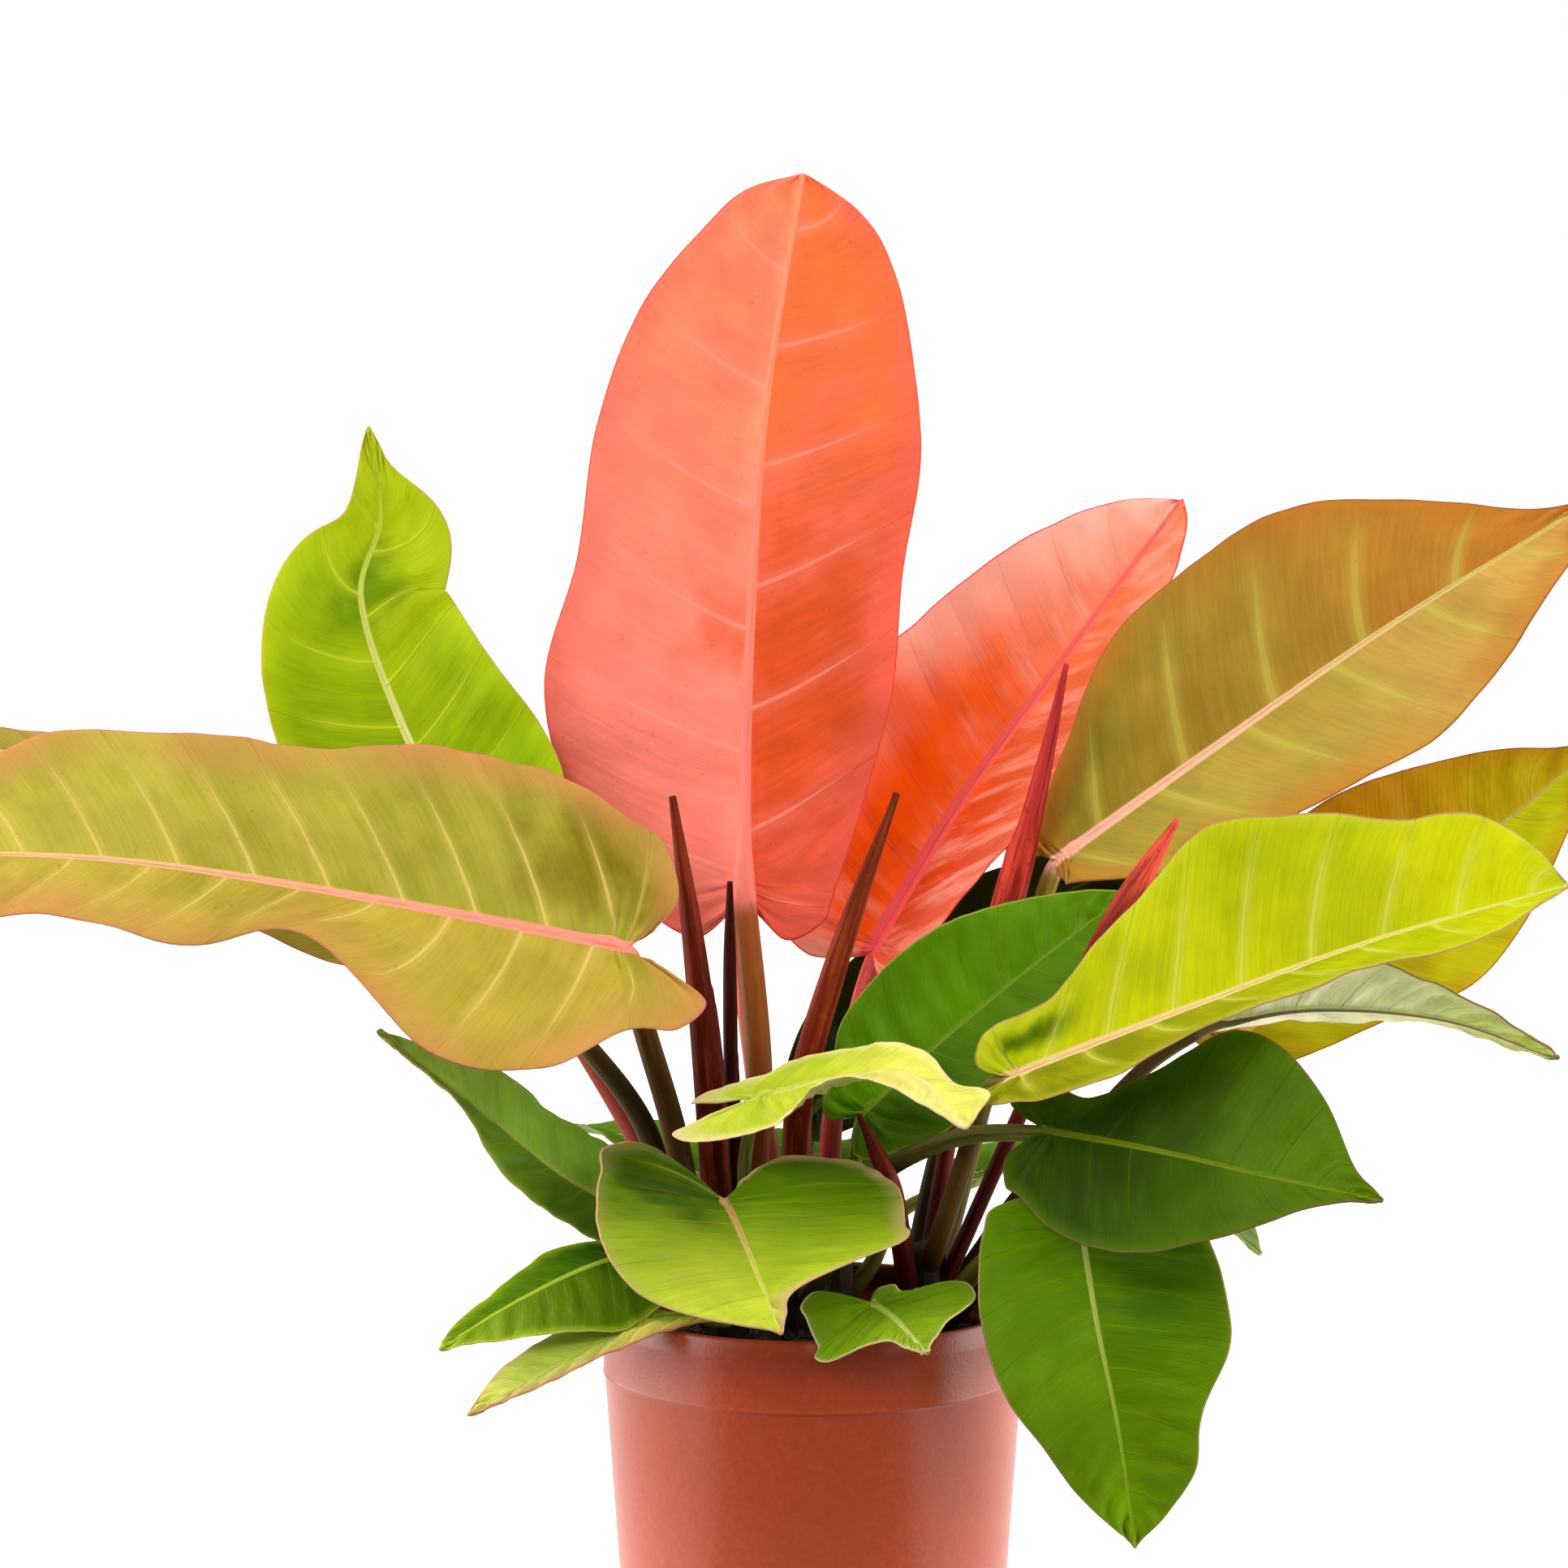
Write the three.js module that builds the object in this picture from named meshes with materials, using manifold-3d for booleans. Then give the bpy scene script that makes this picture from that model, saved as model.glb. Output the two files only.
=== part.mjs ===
// Potted philodendron with broad orange, bronze, lime and green leaves in a plain round pot.
// Millimetres, +Z up. The origin is the middle of the pot's flat base, and the front faces -Y.
import * as THREE from 'three';
import { mergeVertices } from 'three/addons/utils/BufferGeometryUtils.js';
import Module from 'manifold-3d';

const wasm = await Module();
wasm.setup();

// Pot
const potFootRadius = 76;
const potFootBevel = 1.5;
const potFloor = 3;
const potCavityFootRadius = 74;
const potLineHeight = 129;
const potLineRadius = 85.2;
const potBandHeight = 130;
const potBandRadius = 85.7;
const potLipHeight = 150;
const potLipRadius = 86;
const potEdgeHeight = 157;
const potEdgeOuterRadius = 84;
const potEdgeInnerRadius = 81.2;
const potHeight = 158;
const potTopRadius = 82.6;
const potLipInnerRadius = 81;
const potThroatRadius = 80.6;
const potSegments = 48;

// Soil
const soilTop = 140;
const clearance = 0.3;

// Crowns: the stout stem bases that the leaf stalks grow from
const crownFoot = 100;
const crownSegments = 20;
const crownShoulder = 1.5;
const crownTaper = 1;
const crowns = {
  left: { x: -36, y: 8, footRadius: 12, topRadius: 9, top: 180 },
  middle: { x: -6, y: 24, footRadius: 12, topRadius: 9, top: 180 },
  right: { x: 46, y: 14, footRadius: 12, topRadius: 9, top: 180 },
  back: { x: 10, y: 62, footRadius: 10, topRadius: 7, top: 166 },
};

// Blades: half widths are given at these parts of the rib's length
const stations = [0, 0.12, 0.28, 0.45, 0.62, 0.78, 0.9, 0.965];
const lobeCorners = [
  { width: 0.16, reach: 0.5 },
  { width: 0.48, reach: 1 },
  { width: 0.88, reach: 0.62 },
];
const marginSteps = lobeCorners.length + stations.length;
const broadRows = 11;
const narrowRows = 9;
const bladeThickness = 0.9;
const broadColumns = [0.4, 0.72, 1];
const narrowColumns = [0.55, 1];
const ribSteps = 60;
const ribTaper = 0.75;
const ribDepth = 0.7;
const ribCrest = 0.3;
const ribDepthTaper = 0.8;
const ribStart = 0.02;
const veinSweep = 1.22;
const veinArch = 1.15;
const lobeFoldReach = 0.15;
const ribEdgeLimit = 0.3;
const leastReach = 0.001;
const tangentSpan = 2;
const rippleRise = 4;
const rippleFall = 3;

// Stalks
const stalkSides = 6;
const broadStalkSteps = 8;
const narrowStalkSteps = 6;
const stalkInset = 4;
const stalkReach = 6;
const stalkSink = 5;
const stalkRise = 9;
const stalkJoin = 0.1;
const stalkJoinDrop = 1.2;
const stalkEndDrop = 0.8;

// Rolled young leaves
const rollSides = 7;
const rollSteps = 8;

// Each leaf: rib is the midrib's line, faces is where the upper side looks at the base and the tip,
// left and right are half widths at the stations, lobes is how far the two base lobes reach back,
// fold raises both halves by degrees at the lobes, base and tip, ripple is the edge's wave height,
// count and phase, root is the crown, the bearing in degrees and the height, bends is where the
// stalk passes, and stalk holds its radii from root to blade.
const leaves = {
  leaf_tall_orange: {
    rib: [[-28, 25, 322], [-27, 29, 404], [-20, 46, 515], [-4, 72, 616]],
    faces: [[0, 1, 0.1], [0, 1, 0]],
    left: [38, 50, 61, 63, 67, 58, 43, 25],
    right: [42, 73, 84, 77, 70, 58, 38, 23],
    lobes: [20, 19],
    fold: [14, 14, 8],
    ripple: [2.5, 3, 0.4],
    root: ['middle', 180, 176],
    bends: [[-22, 22, 250]],
    stalk: [6.2, 6, 5.4, 4.6, 2.4],
    colour: 0xee6b3c,
  },
  leaf_bright_orange: {
    rib: [[25, 60, 293], [63, 92, 352], [110, 118, 414], [159, 132, 479]],
    faces: [[-0.41, -0.85, 0.46], [-0.41, -0.85, 0.46]],
    left: [48, 62, 66, 63, 54, 39, 25, 13],
    right: [34, 40, 56, 60, 52, 38, 24, 12],
    lobes: [15, 12],
    fold: [24, 30, 26],
    ripple: [3, 2.5, 2],
    root: ['middle', 50, 170],
    bends: [[8, 44, 225], [17, 54, 262]],
    stalk: [5.2, 4.8, 4.2, 3.6, 1.8],
    colour: 0xf2560e,
  },
  leaf_bronze_right: {
    rib: [[100, 34, 334], [165, 40, 380], [240, 36, 433], [318, 22, 483]],
    faces: [[-0.19, -0.92, 0.42], [-0.19, -0.92, 0.42]],
    left: [15, 37, 63, 68, 62, 38, 17, 4],
    right: [14, 36, 46, 54, 55, 40, 22, 8],
    lobes: [4, 3],
    fold: [16, 16, 10],
    ripple: [2.5, 2.2, 1],
    root: ['right', 60, 170],
    bends: [[72, 42, 240], [90, 42, 298]],
    stalk: [5.4, 4.8, 4.2, 3.8, 2],
    colour: 0xb08438,
  },
  leaf_golden_right: {
    rib: [[171, 45, 255], [222, 55, 296], [277, 66, 337], [336, 76, 384]],
    faces: [[-0.1, -0.95, 0.3], [-0.1, -0.95, 0.3]],
    left: [20, 40, 52, 53, 44, 28, 9, 3],
    right: [16, 26, 36, 46, 38, 22, 9, 4],
    lobes: [8, 8],
    fold: [8, 8, 6],
    ripple: [2, 2, 3],
    root: ['right', 17, 157],
    bends: [[94, 32, 205], [137, 42, 236]],
    stalk: [4.6, 4, 3.4, 3, 1.6],
    colour: 0xb0920a,
    narrow: true,
  },
  leaf_lime_right: {
    rib: [[78, -50, 257], [141, -76, 286], [212, -96, 316], [288, -108, 340]],
    faces: [[-0.2, -0.7, 0.7], [-0.2, -0.7, 0.7]],
    left: [22, 24, 45, 62, 57, 42, 34, 18],
    right: [26, 42, 38, 30, 27, 34, 22, 9],
    lobes: [13, 20],
    fold: [33, 33, 33],
    ripple: [2.5, 2.8, 0],
    root: ['right', 286, 175],
    bends: [[62, -18, 222], [70, -34, 250]],
    stalk: [4.8, 4.2, 3.8, 3.2, 1.6],
    colour: 0xc6ca14,
  },
  leaf_green_right: {
    rib: [[92, -58, 237], [132, -86, 234], [175, -112, 228], [216, -130, 222]],
    faces: [[0.35, -0.92, 0.25], [0.35, -0.92, 0.25]],
    left: [18, 16, 32, 52, 50, 34, 11, 4],
    right: [30, 40, 45, 43, 28, 12, 4, 2],
    lobes: [20, 14],
    fold: [8, 8, 8],
    ripple: [2, 2, 1.5],
    root: ['middle', 300, 158],
    bends: [[23, 5, 205], [57, -32, 230]],
    stalk: [4.6, 4.2, 3.8, 3.2, 1.6],
    colour: 0x44640c,
    narrow: true,
  },
  leaf_hanging_right: {
    rib: [[105, -62, 199], [110, -86, 165], [118, -90, 126], [126, -80, 75]],
    faces: [[0.1, -0.9, 0.4], [0.1, -0.97, -0.1]],
    left: [47, 50, 52, 50, 33, 24, 13, 5],
    right: [40, 44, 46, 42, 31, 18, 8, 3],
    lobes: [12, 14],
    fold: [8, 8, 4],
    ripple: [2, 2, 0.5],
    root: ['right', 305, 150],
    bends: [[74, -30, 185], [94, -50, 203]],
    stalk: [4.4, 4, 3.6, 3, 1.6],
    colour: 0x62960e,
  },
  leaf_front: {
    rib: [[-36, -50, 208], [-30, -73, 200.5], [-22, -98, 186], [-13, -118, 168]],
    faces: [[0.25, -0.5, 0.83], [0.25, -0.6, 0.75]],
    left: [70, 70, 68, 64, 58, 13, 5, 2],
    right: [53, 56, 60, 64, 62, 50, 27, 6],
    lobes: [33, 38],
    fold: [10, 10, 6],
    waves: [{ side: -1, centre: 0.5, spread: 0.3, height: 5 }],
    ripple: [2, 1.5, 2.5],
    root: ['left', 278, 160],
    bends: [[-38, -14, 188]],
    stalk: [4.4, 4, 3.4, 3, 1.6],
    colour: 0xa4b41c,
  },
  leaf_cream: {
    rib: [[-23, -24, 245], [7, -37, 254], [38, -58, 259], [59, -84, 242]],
    faces: [[0, -0.6, 0.8], [0, -0.26, 0.97]],
    left: [12, 15, 18, 20, 14, 9, 18, 8],
    right: [22, 24, 24, 24, 22, 16, 9, 4],
    lobes: [31, 36],
    fold: [2, 2, 20],
    waves: [{ side: 1, centre: 0.4, spread: 0.22, height: 8 }],
    ripple: [1, 2, 1],
    root: ['left', 302, 174],
    bends: [[-28, -12, 215]],
    stalk: [4, 3.4, 2.8, 2.4, 1.4],
    colour: 0xd2cf70,
    narrow: true,
  },
  leaf_green_left: {
    rib: [[-72, -22, 197], [-100, -28, 213], [-133, -30, 240], [-175, -24, 272]],
    faces: [[0.25, -0.42, 0.88], [0.25, -0.42, 0.88]],
    left: [46, 42, 37, 27, 10, 4, 2, 1.5],
    right: [16, 30, 31, 25, 24, 18, 8, 3],
    lobes: [14, 8],
    fold: [6, 10, 8],
    ripple: [1.5, 2, 0],
    root: ['left', 203, 150],
    bends: [[-60, -10, 174]],
    stalk: [4.2, 3.8, 3.2, 2.8, 1.4],
    colour: 0x5c8c18,
    narrow: true,
  },
  leaf_low_left: {
    rib: [[-52, -26, 185], [-85, -46, 182], [-117, -64, 170], [-147, -79, 154]],
    faces: [[-0.3, -0.7, 0.64], [-0.3, -0.7, 0.64]],
    left: [14, 22, 30, 34, 26, 16, 7, 3],
    right: [6, 10, 14, 16, 13, 9, 6, 3],
    lobes: [10, 4],
    fold: [-14, -14, 8],
    ripple: [1, 2, 1],
    root: ['left', 234, 158],
    bends: [[-50, -14, 174]],
    stalk: [4, 3.6, 3, 2.6, 1.4],
    colour: 0x5c8e14,
    narrow: true,
  },
  leaf_lowest_left: {
    rib: [[-40, -48, 160.6], [-68, -66, 161.2], [-103, -84, 147], [-135, -94, 131]],
    faces: [[0, -0.12, 0.99], [-0.25, -0.75, 0.6]],
    left: [6, 7, 9, 8, 6, 4, 2, 1],
    right: [5, 8, 14, 18, 18, 14, 8, 3],
    lobes: [6, 4],
    fold: [0, 0, -5],
    ripple: [0.6, 2, 2],
    root: ['left', 295, 149],
    bends: [[-34, -26, 155]],
    stalk: [3.8, 3.2, 2.8, 2.2, 1.2],
    colour: 0xbcc04c,
    narrow: true,
  },
  leaf_mustard_left: {
    rib: [[-74, -30, 306], [-167, -60, 328], [-268, -85, 347], [-360, -98, 352]],
    faces: [[0.05, -0.8, 0.55], [0.05, -0.8, 0.55]],
    left: [38, 63, 64, 22, 35, 27, 29, 17],
    right: [55, 69, 69, 62, 56, 54, 33, 14],
    lobes: [33, 20],
    fold: [4, 6, 4],
    ripple: [3, 3, 1.6],
    root: ['left', 232, 176],
    bends: [[-57, -1, 230], [-69, -16, 275]],
    stalk: [5.6, 5.2, 4.8, 4.2, 2.2],
    colour: 0xbeac42,
  },
  leaf_hidden_left: {
    rib: [[-118, 10, 290], [-196, 22, 322], [-277, 32, 360], [-361, 36, 388]],
    faces: [[0.2, -0.85, 0.5], [0.2, -0.85, 0.5]],
    left: [18, 26, 30, 32, 30, 24, 14, 6],
    right: [16, 24, 26, 24, 20, 16, 10, 5],
    lobes: [12, 12],
    fold: [8, 8, 6],
    ripple: [1.5, 2.5, 0],
    root: ['left', 184, 164],
    bends: [[-68, 11, 226], [-95, 11, 264]],
    stalk: [5.2, 4.8, 4.2, 3.4, 1.8],
    colour: 0x9a9c30,
    narrow: true,
  },
  leaf_lime_left: {
    rib: [[-138, 42, 324], [-171, 50, 392], [-187, 57, 441], [-179, 62, 474], [-184, 64, 512]],
    faces: [[-0.3, -0.9, 0.2], [0.1, -1, 0.1]],
    left: [40, 50, 52, 50, 41, 14, 5, 2],
    right: [44, 56, 54, 45, 37, 32, 8.5, 3],
    lobes: [12, 12],
    fold: [12, 12, 6],
    ripple: [3, 2.5, 1],
    root: ['left', 148, 152],
    bends: [[-70, 26, 215], [-106, 36, 275]],
    stalk: [5.4, 5, 4.4, 3.6, 1.8],
    colour: 0xa4bc14,
  },
  leaf_green_middle: {
    rib: [[20, 8, 233], [52, 14, 262], [90, 17, 293], [129, 17, 323]],
    faces: [[-0.25, -0.92, 0.35], [-0.25, -0.92, 0.35]],
    left: [18, 32, 38, 38, 32, 22, 12, 5],
    right: [24, 32, 34, 32, 28, 20, 11, 5],
    lobes: [12, 14],
    fold: [14, 14, 10],
    ripple: [1.5, 2, 2],
    root: ['middle', 350, 166],
    bends: [[16, 12, 206]],
    stalk: [4.2, 3.6, 3, 2.6, 1.4],
    colour: 0x4f860c,
    narrow: true,
  },
  leaf_dark_middle: {
    rib: [[0, 62, 225], [44, 78, 271], [92, 88, 306], [147, 92, 333]],
    faces: [[-0.3, -0.85, 0.5], [-0.3, -0.85, 0.5]],
    left: [18, 28, 32, 30, 26, 18, 10, 4],
    right: [18, 28, 32, 30, 26, 18, 10, 4],
    lobes: [10, 10],
    fold: [10, 10, 8],
    ripple: [1.5, 2, 0],
    root: ['back', 200, 160],
    bends: [[-3, 58, 198]],
    stalk: [4.2, 3.6, 3, 2.6, 1.4],
    colour: 0x21380e,
    narrow: true,
  },
  leaf_silver_right: {
    rib: [[155, -30, 275], [198, -45, 284], [249, -54, 281], [293, -60, 266]],
    faces: [[0.1, 0.5, 0.85], [0, 0.5, 0.85]],
    left: [14, 20, 24, 24, 20, 13, 8, 4],
    right: [16, 26, 31, 32, 25, 15, 7, 4],
    lobes: [10, 10],
    fold: [14, 14, 10],
    ripple: [1.5, 2, 1],
    root: ['right', 350, 147],
    bends: [[92, -6, 205], [128, -20, 252]],
    stalk: [4, 3.6, 3.2, 2.6, 1.4],
    colour: 0x9aa67c,
    narrow: true,
  },
  leaf_rim_front: {
    rib: [[23, -77, 172], [31, -92, 169], [37, -106, 165], [43, -118, 161]],
    faces: [[-0.21, -0.44, 0.87], [-0.21, -0.44, 0.87]],
    left: [14, 29, 35, 36, 15, 9, 4, 2],
    right: [28, 33, 30, 19, 8, 5, 3, 1.5],
    lobes: [6, 24],
    fold: [12, -10, -10],
    waves: [{ side: -1, centre: 0.35, spread: 0.25, height: 2 }],
    ripple: [0.8, 2, 0],
    root: ['right', 256, 150],
    bends: [[36, -28, 162], [27, -56, 172]],
    stalk: [3.6, 3, 2.6, 2.2, 1.2],
    colour: 0x52820a,
    narrow: true,
  },
  leaf_back_upright: {
    rib: [[-34, 98, 320], [-42, 114, 392], [-48, 136, 470], [-44, 170, 560]],
    faces: [[0, -1, 0.25], [0, -1, 0.4]],
    left: [34, 48, 54, 54, 48, 36, 22, 10],
    right: [34, 48, 54, 54, 48, 36, 22, 10],
    lobes: [18, 18],
    fold: [10, 10, 8],
    ripple: [2.5, 2.5, 0.8],
    root: ['middle', 110, 168],
    bends: [[-23, 68, 235]],
    stalk: [5.4, 5, 4.6, 4, 2],
    colour: 0xc06a30,
    narrow: true,
  },
  leaf_back_right: {
    rib: [[95, 90, 300], [150, 118, 350], [212, 140, 400], [280, 150, 440]],
    faces: [[-0.3, -0.8, 0.5], [-0.3, -0.8, 0.5]],
    left: [24, 38, 44, 42, 36, 26, 15, 6],
    right: [24, 38, 44, 42, 36, 26, 15, 6],
    lobes: [14, 14],
    fold: [10, 10, 8],
    ripple: [2.5, 2, 2.2],
    root: ['right', 100, 158],
    bends: [[56, 56, 220], [76, 78, 264]],
    stalk: [4.8, 4.4, 3.8, 3.2, 1.6],
    colour: 0x8f9a20,
    narrow: true,
  },
  leaf_back_left: {
    rib: [[-50, 80, 196], [-80, 112, 206], [-108, 142, 204], [-132, 172, 186]],
    faces: [[0, 0.2, 1], [-0.3, 0.5, 0.8]],
    left: [24, 34, 36, 34, 28, 18, 10, 4],
    right: [24, 34, 36, 34, 28, 18, 10, 4],
    lobes: [14, 14],
    fold: [10, 10, 6],
    ripple: [2, 2, 0],
    root: ['back', 150, 150],
    bends: [[-22, 74, 182]],
    stalk: [4, 3.6, 3, 2.6, 1.4],
    colour: 0x4f7f14,
    narrow: true,
  },
  leaf_back_middle: {
    rib: [[6, 100, 190], [10, 134, 198], [16, 170, 194], [20, 204, 176]],
    faces: [[0, 0, 1], [0, 0.5, 0.8]],
    left: [24, 34, 36, 34, 28, 18, 10, 4],
    right: [24, 34, 36, 34, 28, 18, 10, 4],
    lobes: [14, 14],
    fold: [10, 10, 6],
    ripple: [2, 2, 1.4],
    root: ['back', 84, 155],
    bends: [[10, 90, 183]],
    stalk: [4, 3.6, 3, 2.6, 1.4],
    colour: 0x3e6c14,
    narrow: true,
  },
  leaf_back_low: {
    rib: [[70, 78, 196], [112, 98, 204], [158, 120, 188], [196, 138, 150]],
    faces: [[0, 0.1, 1], [0.3, 0.4, 0.8]],
    left: [24, 34, 36, 34, 28, 18, 10, 4],
    right: [24, 34, 36, 34, 28, 18, 10, 4],
    lobes: [14, 14],
    fold: [10, 10, 6],
    ripple: [2, 2, 2.8],
    root: ['back', 24, 150],
    bends: [[38, 70, 182]],
    stalk: [4, 3.6, 3, 2.6, 1.4],
    colour: 0x5c8c18,
    narrow: true,
  },
};

// Rolled young leaves and sheaths: the line each follows and its radii from foot to tip
const rolls = {
  spike_left: {
    line: [[-38.6, 9.2, 172], [-42, 5, 240], [-48, 4, 300], [-57, 0, 364]],
    radii: [6.5, 7, 5.2, 1.6],
    colour: 0x4d1806,
  },
  spike_middle: {
    line: [[-29, 13, 174], [-33, 13, 235], [-34, 14, 290], [-34, 13, 328]],
    radii: [3.4, 3.4, 3, 1.2],
    colour: 0x6a2a10,
  },
  spike_right: {
    line: [[-6, 20, 172], [-6, 2, 236], [9, -8, 296], [33, -18, 367]],
    radii: [6, 6.2, 5.2, 1.6],
    colour: 0x4d1806,
  },
  spike_red: {
    line: [[39, 9, 158], [33, -13, 200], [27, -19, 218], [18, -24, 238]],
    radii: [4.6, 4.8, 4, 1.2],
    colour: 0xa83a1e,
  },
  rolled_coral: {
    line: [[47, 17, 172], [62, 30, 250], [80, 32, 316], [91, 27, 360], [103, 23, 416]],
    radii: [4, 4.2, 7, 4.6, 1.2],
    colour: 0xe4614a,
  },
  rolled_red: {
    line: [[52, 11, 158], [86, -4, 240], [108, -6, 287], [127, -9, 324], [146, -12, 356]],
    radii: [3.6, 3.6, 5.6, 6, 1.2],
    colour: 0xc4402a,
  },
};

const clamp = THREE.MathUtils.clamp;
const lerp = THREE.MathUtils.lerp;
const radians = THREE.MathUtils.degToRad;

function vector(point) {
  return new THREE.Vector3(point[0], point[1], point[2] ?? 0);
}

function smoothLine(points) {
  return new THREE.CatmullRomCurve3(points.map(vector), false, 'catmullrom', 0.5);
}

function smoothValues(values) {
  return smoothLine(values.map((value) => [value, 0, 0]));
}

// Equal vertices become one and collapsed triangles go, which leaves a closed mesh.
function closedMesh(geometry) {
  geometry.deleteAttribute('normal');
  geometry.deleteAttribute('uv');
  const merged = mergeVertices(geometry);
  const order = merged.index.array;
  const kept = [];
  for (let i = 0; i < order.length; i += 3) {
    const [a, b, c] = [order[i], order[i + 1], order[i + 2]];
    if (a !== b && b !== c && c !== a) {
      kept.push(a, b, c);
    }
  }
  merged.setIndex(kept);
  return merged;
}

function toSolid(geometry) {
  const closed = closedMesh(geometry);
  return new wasm.Manifold(new wasm.Mesh({
    numProp: 3,
    vertProperties: new Float32Array(closed.attributes.position.array),
    triVerts: new Uint32Array(closed.index.array),
  }));
}

function toGeometry(solid) {
  const mesh = solid.getMesh();
  const geometry = new THREE.BufferGeometry();
  geometry.setAttribute('position', new THREE.BufferAttribute(mesh.vertProperties, 3));
  geometry.setIndex(new THREE.BufferAttribute(mesh.triVerts, 1));
  geometry.computeVertexNormals();
  return geometry;
}

function meshFrom(vertices, triangles) {
  const geometry = new THREE.BufferGeometry();
  geometry.setAttribute('position', new THREE.Float32BufferAttribute(vertices.flatMap((p) => [p.x, p.y, p.z]), 3));
  geometry.setIndex(triangles.flat());
  return geometry;
}

// A turned body about the Z axis from points of radius and height, outer side first.
function turned(profile, segments) {
  const geometry = new THREE.LatheGeometry(profile.map(([r, z]) => new THREE.Vector2(r, z)), segments);
  return geometry.rotateX(Math.PI / 2);
}

function crownGeometry(crown, extra) {
  const shoulder = crown.top - crownShoulder;
  const geometry = turned([
    [0, crownFoot - extra],
    [crown.footRadius + extra, crownFoot - extra],
    [crown.topRadius + extra, shoulder + extra],
    [crown.topRadius - crownTaper + extra, crown.top + extra],
    [0, crown.top + extra],
  ], crownSegments);
  return geometry.translate(crown.x, crown.y, 0);
}

// The midrib as evenly spaced points, with its side and upward directions at any part of its length.
class Rib {
  constructor(leaf) {
    this.points = smoothLine(leaf.rib).getSpacedPoints(ribSteps);
    this.length = smoothLine(leaf.rib).getLength();
    this.faces = leaf.faces.map(vector);
    this.halfWidth = leaf.stalk[3];
  }

  point(step) {
    const i = Math.min(Math.floor(step), ribSteps - 1);
    return this.points[i].clone().lerp(this.points[i + 1], step - i);
  }

  at(part) {
    const held = clamp(part, 0, 1);
    const step = held * ribSteps;
    const ahead = this.point(Math.min(step + tangentSpan, ribSteps));
    const along = ahead.sub(this.point(Math.max(step - tangentSpan, 0))).normalize();
    const up = this.faces[0].clone().lerp(this.faces[1], held);
    up.addScaledVector(along, -up.dot(along)).normalize();
    const centre = this.point(step).addScaledVector(along, Math.min(part, 0) * this.length);
    return { centre, side: along.clone().cross(up), up };
  }

  half(part) {
    return this.halfWidth * (1 - ribTaper * clamp(part, 0, 1));
  }
}

// The edge of one half, from the notch at the stalk round the lobe and on to the tip.
function margin(leaf, length, side) {
  const widths = side < 0 ? leaf.left : leaf.right;
  const reach = side < 0 ? leaf.lobes[0] : leaf.lobes[1];
  const lobe = lobeCorners.map((corner) => [corner.width * widths[0], -corner.reach * reach]);
  const edge = widths.map((width, i) => [width, stations[i] * length]);
  return smoothLine([...lobe, ...edge, [0, length]]);
}

// A blade point from its distance to the rib and along it, with the fold, waves and ripple.
function raised(leaf, rib, x, y, side, spread) {
  const part = y / rib.length;
  const held = clamp(part, 0, 1);
  const { centre, side: across, up } = rib.at(part);
  const [lobeFold, baseFold, tipFold] = leaf.fold;
  const lobeShare = clamp(-part / lobeFoldReach, 0, 1);
  const angle = radians(lerp(baseFold, tipFold, held) + (lobeFold - baseFold) * lobeShare);
  let height = x * Math.sin(angle);
  for (const wave of leaf.waves ?? []) {
    if (wave.side === side) {
      height += wave.height * spread ** 2 * Math.exp(-(((part - wave.centre) / wave.spread) ** 2));
    }
  }
  const [amount, count, phase] = leaf.ripple;
  const fade = Math.min(rippleRise * held, 1) * Math.min(rippleFall * (1 - held), 1);
  height += amount * spread ** 2 * Math.sin(2 * Math.PI * count * held + phase + side) * fade;
  return centre.addScaledVector(across, side * x * Math.cos(angle)).addScaledVector(up, height);
}

// The blade's middle surface: rows run along the side veins from the left edge to the right edge.
function bladeGrid(leaf, rib) {
  const columns = leaf.narrow ? narrowColumns : broadColumns;
  const edges = { left: margin(leaf, rib.length, -1), right: margin(leaf, rib.length, 1) };
  const firstStation = lobeCorners.length;
  const grid = [];
  const rows = leaf.narrow ? narrowRows : broadRows;
  for (let row = 0; row <= rows; row += 1) {
    const step = row / rows * marginSteps;
    const half = (side) => {
      const edge = (side < 0 ? edges.left : edges.right).getPoint(row / rows);
      const reach = Math.max(edge.x, 0);
      let start = ribStart * step / firstStation;
      if (step >= firstStation) {
        start = ribStart + (1 - ribStart) * Math.max(edge.y / rib.length, 0) ** veinSweep;
      }
      start = Math.min(start, 1);
      const ribEdge = Math.min(rib.half(start) / Math.max(reach, leastReach), ribEdgeLimit);
      return [0, ribEdge, ...columns].map((spread) => {
        const y = start * rib.length + (edge.y - start * rib.length) * spread ** veinArch;
        return raised(leaf, rib, spread * reach, y, side, spread);
      });
    };
    grid.push([...half(-1).slice(1).reverse(), ...half(1)]);
  }
  return grid;
}

function gridNormals(grid) {
  const normals = grid.map((row) => row.map(() => new THREE.Vector3()));
  for (let i = 0; i < grid.length - 1; i += 1) {
    for (let j = 0; j < grid[0].length - 1; j += 1) {
      const rise = grid[i + 1][j + 1].clone().sub(grid[i][j]);
      const quad = rise.cross(grid[i + 1][j].clone().sub(grid[i][j + 1]));
      for (const [p, q] of [[i, j], [i, j + 1], [i + 1, j + 1], [i + 1, j]]) {
        normals[p][q].add(quad);
      }
    }
  }
  const last = normals[normals.length - 1];
  const tip = last.reduce((sum, normal) => sum.add(normal), new THREE.Vector3());
  last.forEach((normal) => normal.copy(tip));
  normals.flat().forEach((normal) => normal.normalize());
  return normals;
}

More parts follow.
